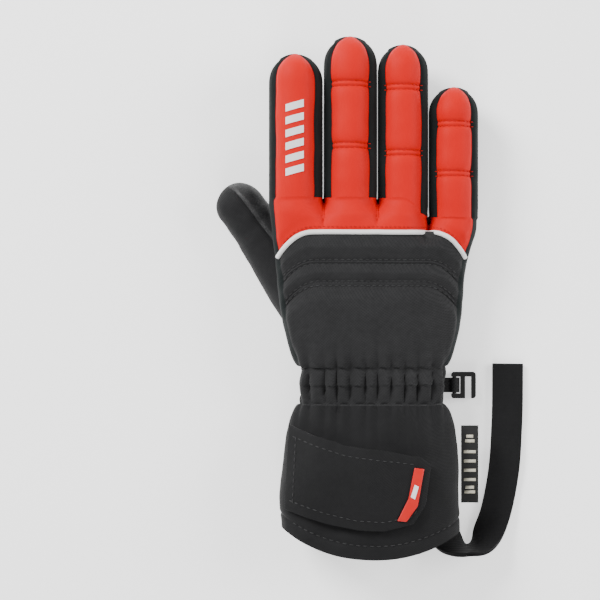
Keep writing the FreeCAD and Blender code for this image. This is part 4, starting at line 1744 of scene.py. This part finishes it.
@dataclass
class Marks:
    """Generic raised marks: slanted bars on the index finger and woven bars on the side label."""

    plan: Layout
    panels: Panels
    surface: Drape
    bars: int = 6
    bar: float = 3.6 * MM
    gap: float = 2.7 * MM
    first: float = 62.0 * MM
    half_wide: float = 4.4 * MM
    slant: float = 1.26 * MM

    def finger_bars(self) -> None:
        """The white bars along the back of the index finger, one piece per finger part."""
        finger = self.plan.fingers[0]
        parts: dict[str, bmesh.types.BMesh] = {}
        for number in range(self.bars):
            low = self.first + number * (self.bar + self.gap)
            high = low + self.bar
            middle = (low + high) / 2
            part = finger.part_at(middle)
            if part not in parts:
                parts[part] = bmesh.new()
            bm = parts[part]
            made = bmesh.ops.create_grid(bm, x_segments=10, y_segments=4, size=1.0)
            for vertex in made["verts"]:
                along, side = vertex.co.y, vertex.co.x
                y = middle + along * self.bar / 2 + side * self.slant
                vertex.co = self.surface.top(finger.x + side * self.half_wide, y, 0.28 * MM)[0]
        for part, bm in parts.items():
            face_up(bm)
            piece = add_piece(f"index_{part}_bars", bm)
            thicken(piece, 0.5 * MM)
            dress(piece, "white_print", "white_piping")
            settle(piece, "", self.panels.finger_turn(finger, part))

    def label_bars(self) -> None:
        """The woven motif of the side label."""
        low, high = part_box("side_label")
        bm = bmesh.new()
        width = high[0] - low[0]
        rows = ((0.14, 0.62), (0.2, 0.5), (0.3, 0.7), (0.42, 0.7), (0.54, 0.7), (0.66, 0.7), (0.8, 0.55),
                (0.86, 0.4))
        for share, reach in rows:
            y = low[1] + (high[1] - low[1]) * share
            middle = Vector(((low[0] + high[0]) / 2, y, high[2] + 0.06 * MM))
            size = Vector((width * reach / 2, 0.75 * MM, 0.12 * MM))
            matrix = Matrix.Translation(middle) @ Matrix.Diagonal((*(size * 2), 1.0))
            bmesh.ops.create_cube(bm, size=1.0, matrix=matrix)
        piece = add_piece("label_motif", bm)
        dress(piece, "label_print", "woven_label")
        settle(piece, "label")

    def build(self) -> None:
        """Makes every mark."""
        self.finger_bars()
        self.label_bars()


@dataclass
class Hardware:
    """CAD pieces that keep their own shape and get a finish."""

    finishes: dict[str, str] = field(default_factory=lambda: {
        "glove_hook": "black_plastic", "hook_webbing": "webbing", "side_label": "woven_label",
        "cuff_loop_patch": "loop_pile",
    })

    def build(self) -> None:
        """Dresses the pieces."""
        for node, finish in self.finishes.items():
            coat(frame["nodes"][node], finish)


# ---------------------------------------------------------------- floor, light and camera


@dataclass
class Studio:
    """A pale floor, soft lights and a camera straight above."""

    floor_size: float = 3.0
    view_width: float = 0.30
    look_at: Vector = field(default_factory=lambda: Vector((-0.0355, 0.0, 0.02)))
    stands_over: float = 0.0
    distance: float = 0.85
    sensor: float = 36.0
    floor_glow: float = 0.75
    sky: float = 0.45

    def floor(self) -> None:
        """Makes the floor."""
        bm = bmesh.new()
        bmesh.ops.create_grid(bm, x_segments=1, y_segments=1, size=self.floor_size / 2)
        sheet = add_piece("floor", bm)
        material, _, shader = new_material("Pale floor")
        shader.inputs["Base Color"].default_value = (1.0, 1.0, 1.0, 1.0)
        shader.inputs["Roughness"].default_value = 0.9
        shader.inputs["Emission Color"].default_value = (1.0, 1.0, 1.0, 1.0)
        shader.inputs["Emission Strength"].default_value = self.floor_glow
        sheet.data.materials.append(material)

    def light(self, name: str, place: tuple[float, float, float], size: float, power: float) -> None:
        """Adds a soft area light aimed at the glove.

        Args:
            name: The light's name.
            place: Where it stands.
            size: The side of its square.
            power: Its power, in watts.
        """
        data = bpy.data.lights.new(name, "AREA")
        data.size = size
        data.energy = power
        lamp = bpy.data.objects.new(name, data)
        lamp.location = place
        lamp.rotation_euler = (-Vector(place)).to_track_quat("-Z", "Y").to_euler()
        bpy.context.scene.collection.objects.link(lamp)

    def camera(self) -> None:
        """Adds the camera, which looks straight down with the fingers up."""
        data = bpy.data.cameras.new("camera")
        data.sensor_width = self.sensor
        data.lens = self.sensor * self.distance / self.view_width
        data.shift_x = (self.look_at.x - self.stands_over) / self.view_width
        camera = bpy.data.objects.new("camera", data)
        camera.location = (self.stands_over, self.look_at.y, self.look_at.z + self.distance)
        bpy.context.scene.collection.objects.link(camera)
        bpy.context.scene.camera = camera

    def build(self) -> None:
        """Sets the stage."""
        self.floor()
        self.camera()
        self.light("key", (-0.75, 0.75, 0.75), 0.5, 26.0)
        self.light("fill", (1.0, 0.25, 0.6), 0.6, 12.0)
        self.light("back", (-0.1, -1.0, 0.7), 0.5, 7.0)
        world = bpy.data.worlds.new("studio")
        world.use_nodes = True
        background = world.node_tree.nodes["Background"]
        background.inputs["Color"].default_value = (1.0, 1.0, 1.0, 1.0)
        background.inputs["Strength"].default_value = self.sky
        bpy.context.scene.world = world


def clear_start() -> None:
    """Removes what a new Blender file holds besides the frame."""
    kept = set(frame["nodes"].values()) | set(frame["bodies"].values())
    for piece in list(bpy.data.objects):
        if piece not in kept:
            bpy.data.objects.remove(piece)


def main() -> None:
    """Builds the glove on its frame, then the stage."""
    logging.basicConfig(level=logging.INFO, format="%(message)s")
    clear_start()
    plan = Layout()
    skin = Skin(plan)
    sleeve = skin.whole()
    push(sleeve, Relief(plan).shift)
    surface = Drape.over(sleeve)
    panels = Panels(plan, skin)
    panels.build(sleeve)
    thumb = Thumb(plan, Skin(plan)).build()
    log.info("thumb has %d panels", len(thumb))
    Stitching(plan, panels, surface).build()
    Piping(plan, surface).build()
    Lining(plan, panels).build()
    Flap(plan).build(surface)
    Leash().build()
    Marks(plan, panels, surface).build()
    Hardware().build()
    bpy.data.objects.remove(sleeve)
    Studio().build()


if __name__ == "__main__":
    main()
